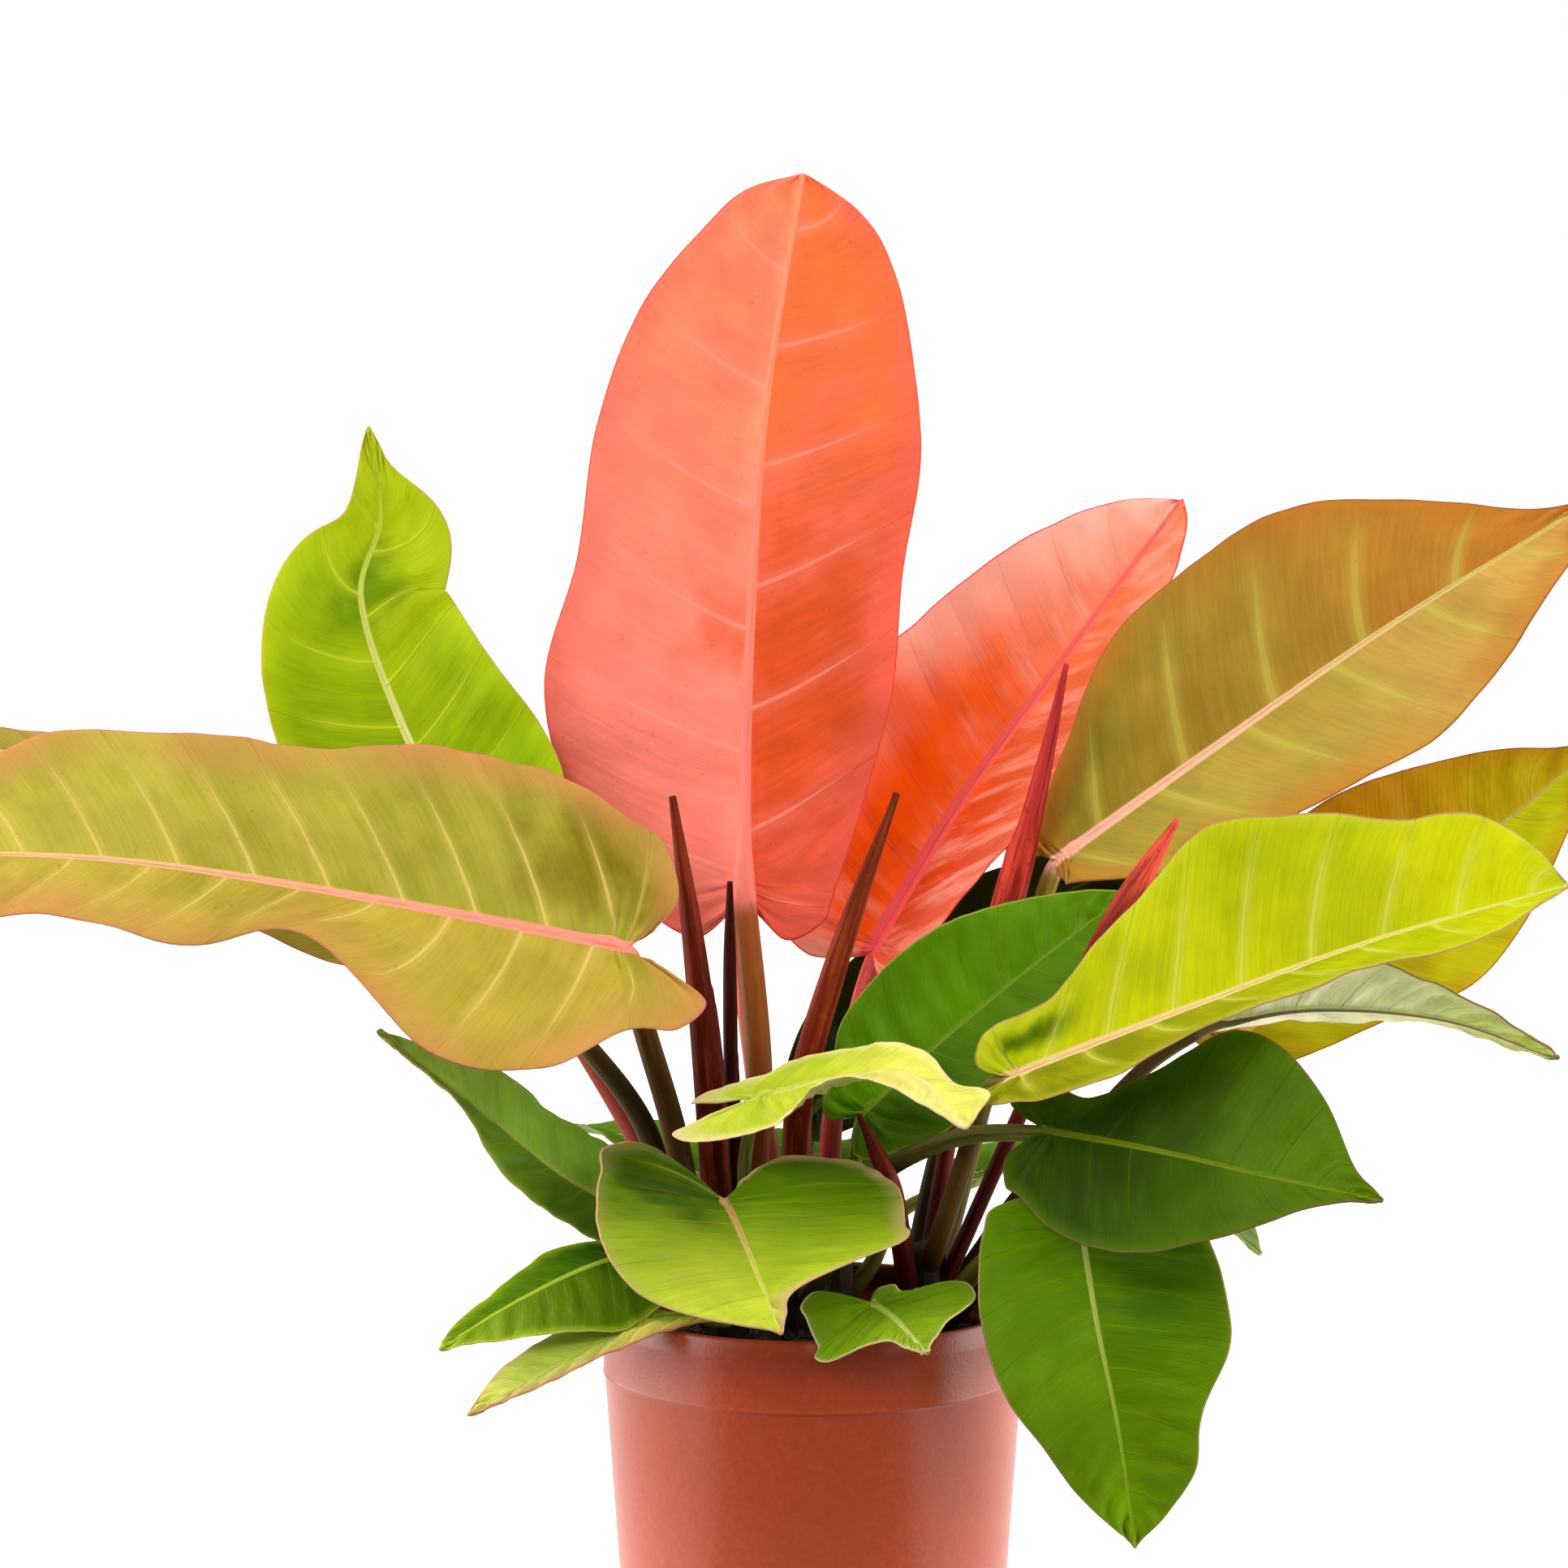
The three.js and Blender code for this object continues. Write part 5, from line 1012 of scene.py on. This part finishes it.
def crumbPieces():
    rng = np.random.default_rng(soilLook["crumbSeed"])
    corners = np.array([(1, 0, 0), (-1, 0, 0), (0, 1, 0), (0, -1, 0), (0, 0, 1), (0, 0, -1)], float)
    facets = [(0, 2, 4), (2, 1, 4), (1, 3, 4), (3, 0, 4), (2, 0, 5), (1, 2, 5), (3, 1, 5), (0, 3, 5)]
    vertices, faces = [], []
    for k in range(soilLook["crumbs"]):
        r = soilLook["crumbReach"] * math.sqrt(rng.uniform(0, 1))
        turn = rng.uniform(0, 2 * math.pi)
        size = rng.uniform(*soilLook["crumbSize"]) * rng.uniform(*soilLook["crumbFlatness"], 3)
        lean = rng.uniform(0, soilLook["largestTurn"], 3)
        body = corners * size * rng.uniform(*soilLook["crumbCorner"], (len(corners), 1))
        for angle, (i, j) in zip(lean, ((1, 2), (0, 2), (0, 1))):
            c, s = math.cos(angle), math.sin(angle)
            body[:, i], body[:, j] = c * body[:, i] - s * body[:, j], s * body[:, i] + c * body[:, j]
        reach = np.abs(body).max()
        r = min(r, soilLook["crumbLimit"] - reach)
        level = soilLook["top"] + rng.uniform(*soilLook["crumbRise"]) + soilLook["crumbLift"] * reach
        body += (r * math.cos(turn), r * math.sin(turn), level)
        base = len(vertices)
        vertices += body.tolist()
        faces += [tuple(base + n for n in facet) for facet in facets]
    return vertices, faces


soilTint = makeSoilTint()
soil = meshPiece("soil_bed", *soilBed(), [soilSkin("soil_skin", soilLook["bedTones"], soilLook["bedBump"])])
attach(soil, "root")
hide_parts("soil")
crumbSkin = soilSkin("crumb_skin", soilLook["crumbTones"], soilLook["crumbBump"])
crumbs = meshPiece("soil_crumbs", *crumbPieces(), [crumbSkin], smooth=False)
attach(crumbs, "root")
print("soil")

# Floor, world, lamps and camera, in metres. A lamp has its bearing round the pot, height, distance, size,
# power and the height that it aims at.
studio = {
    "floor": (246, 246, 246), "floorLit": (120, 118, 114), "floorRough": 0.9, "floorDrop": 0.0005,
    "forward": (-0.68, -0.56), "bounce": (0.8, 1.1, 1.1, 0.0), "glow": (0.1, 1.6, 0.25, 1.0),
    "floorCorners": [(-40, -20), (40, -20), (40, 60), (-40, 60)], "world": 0.17,
    "lamps": {
        "left": (-98, 0.6, 0.95, (1.5, 1.2), 20, 0.6), "right": (96, 0.6, 0.95, (1.5, 1.2), 20, 0.6),
        "key": (-30, 1.9, 2.2, (1.4, 1.2), 34, 0.3), "fill": (34, 1.6, 2.4, (1.4, 1.0), 15, 0.3),
        "top": (180, 2.2, 0.2, (1.6, 1.2), 13, 0.3)},
    "cameraPlace": (-0.012, -1.960, 0.552), "cameraDip": 5.334, "lens": 112, "sensor": 36}
floorMesh = bpy.data.meshes.new("floor")
floorMesh.from_pydata([(x, y, -studio["floorDrop"]) for x, y in studio["floorCorners"]], [], [(0, 1, 2, 3)])
floor = bpy.data.objects.new("floor", floorMesh)
scene.collection.objects.link(floor)
floorPaint = bpy.data.materials.new("floor_paint")
floorPaint.use_nodes = True
n = Nodes(floorPaint.node_tree)
surface = n.tree.nodes["Principled BSDF"]
surface.inputs["Roughness"].default_value = studio["floorRough"]
surface.inputs["Emission Color"].default_value = (1, 1, 1, 1)
place = n.place()
farOff = n.length(place)
sight = n.add("LightPath").outputs["Is Camera Ray"]
# the floor in front of the plant throws light up, and what the camera sees of it stays pale and even
forward = n.over(n.add("SeparateXYZ", {0: place}).outputs["Y"], farOff)
bounce = n.times(n.ramp(forward, *studio["forward"]), n.ramp(farOff, *studio["bounce"]))
glow = n.plus(n.times(n.minus(n.ramp(farOff, *studio["glow"]), bounce), sight), bounce)
floorTone = n.mix(sight, tone(*studio["floorLit"]), tone(*studio["floor"]))
n.tree.links.new(floorTone, surface.inputs["Base Color"])
n.tree.links.new(glow, surface.inputs["Emission Strength"])
floorMesh.materials.append(floorPaint)

world = bpy.data.worlds.new("studio")
scene.world = world
world.use_nodes = True
n = Nodes(world.node_tree)
n.tree.nodes.clear()
sight = n.add("LightPath").outputs["Is Camera Ray"]
lit, seen = [n.add("Background", {"Color": (1, 1, 1, 1), "Strength": s}).outputs[0] for s in (studio["world"], 1.0)]
n.add("OutputWorld", {0: n.add("MixShader", {0: sight, 1: lit, 2: seen}).outputs[0]})


def softLight(name, bearing, height, distance, size, power, aim):
    turn = math.radians(bearing)
    lamp = bpy.data.lights.new(name, "AREA")
    lamp.shape = "RECTANGLE"
    lamp.size, lamp.size_y = size
    lamp.energy = power
    holder = bpy.data.objects.new(name, lamp)
    holder.location = (distance * math.sin(turn), -distance * math.cos(turn), height)
    holder.rotation_euler = (Vector((0, 0, aim)) - holder.location).to_track_quat("-Z", "Y").to_euler()
    scene.collection.objects.link(holder)


for name, lamp in studio["lamps"].items():
    softLight(name, *lamp)

camera = bpy.data.objects.new("camera", bpy.data.cameras.new("camera"))
camera.location = studio["cameraPlace"]
camera.rotation_euler = (math.radians(90 - studio["cameraDip"]), 0, 0)
camera.data.lens = studio["lens"]
camera.data.sensor_width = studio["sensor"]
scene.collection.objects.link(camera)
scene.camera = camera
scene.view_settings.view_transform = "Standard"

print("scene ready")
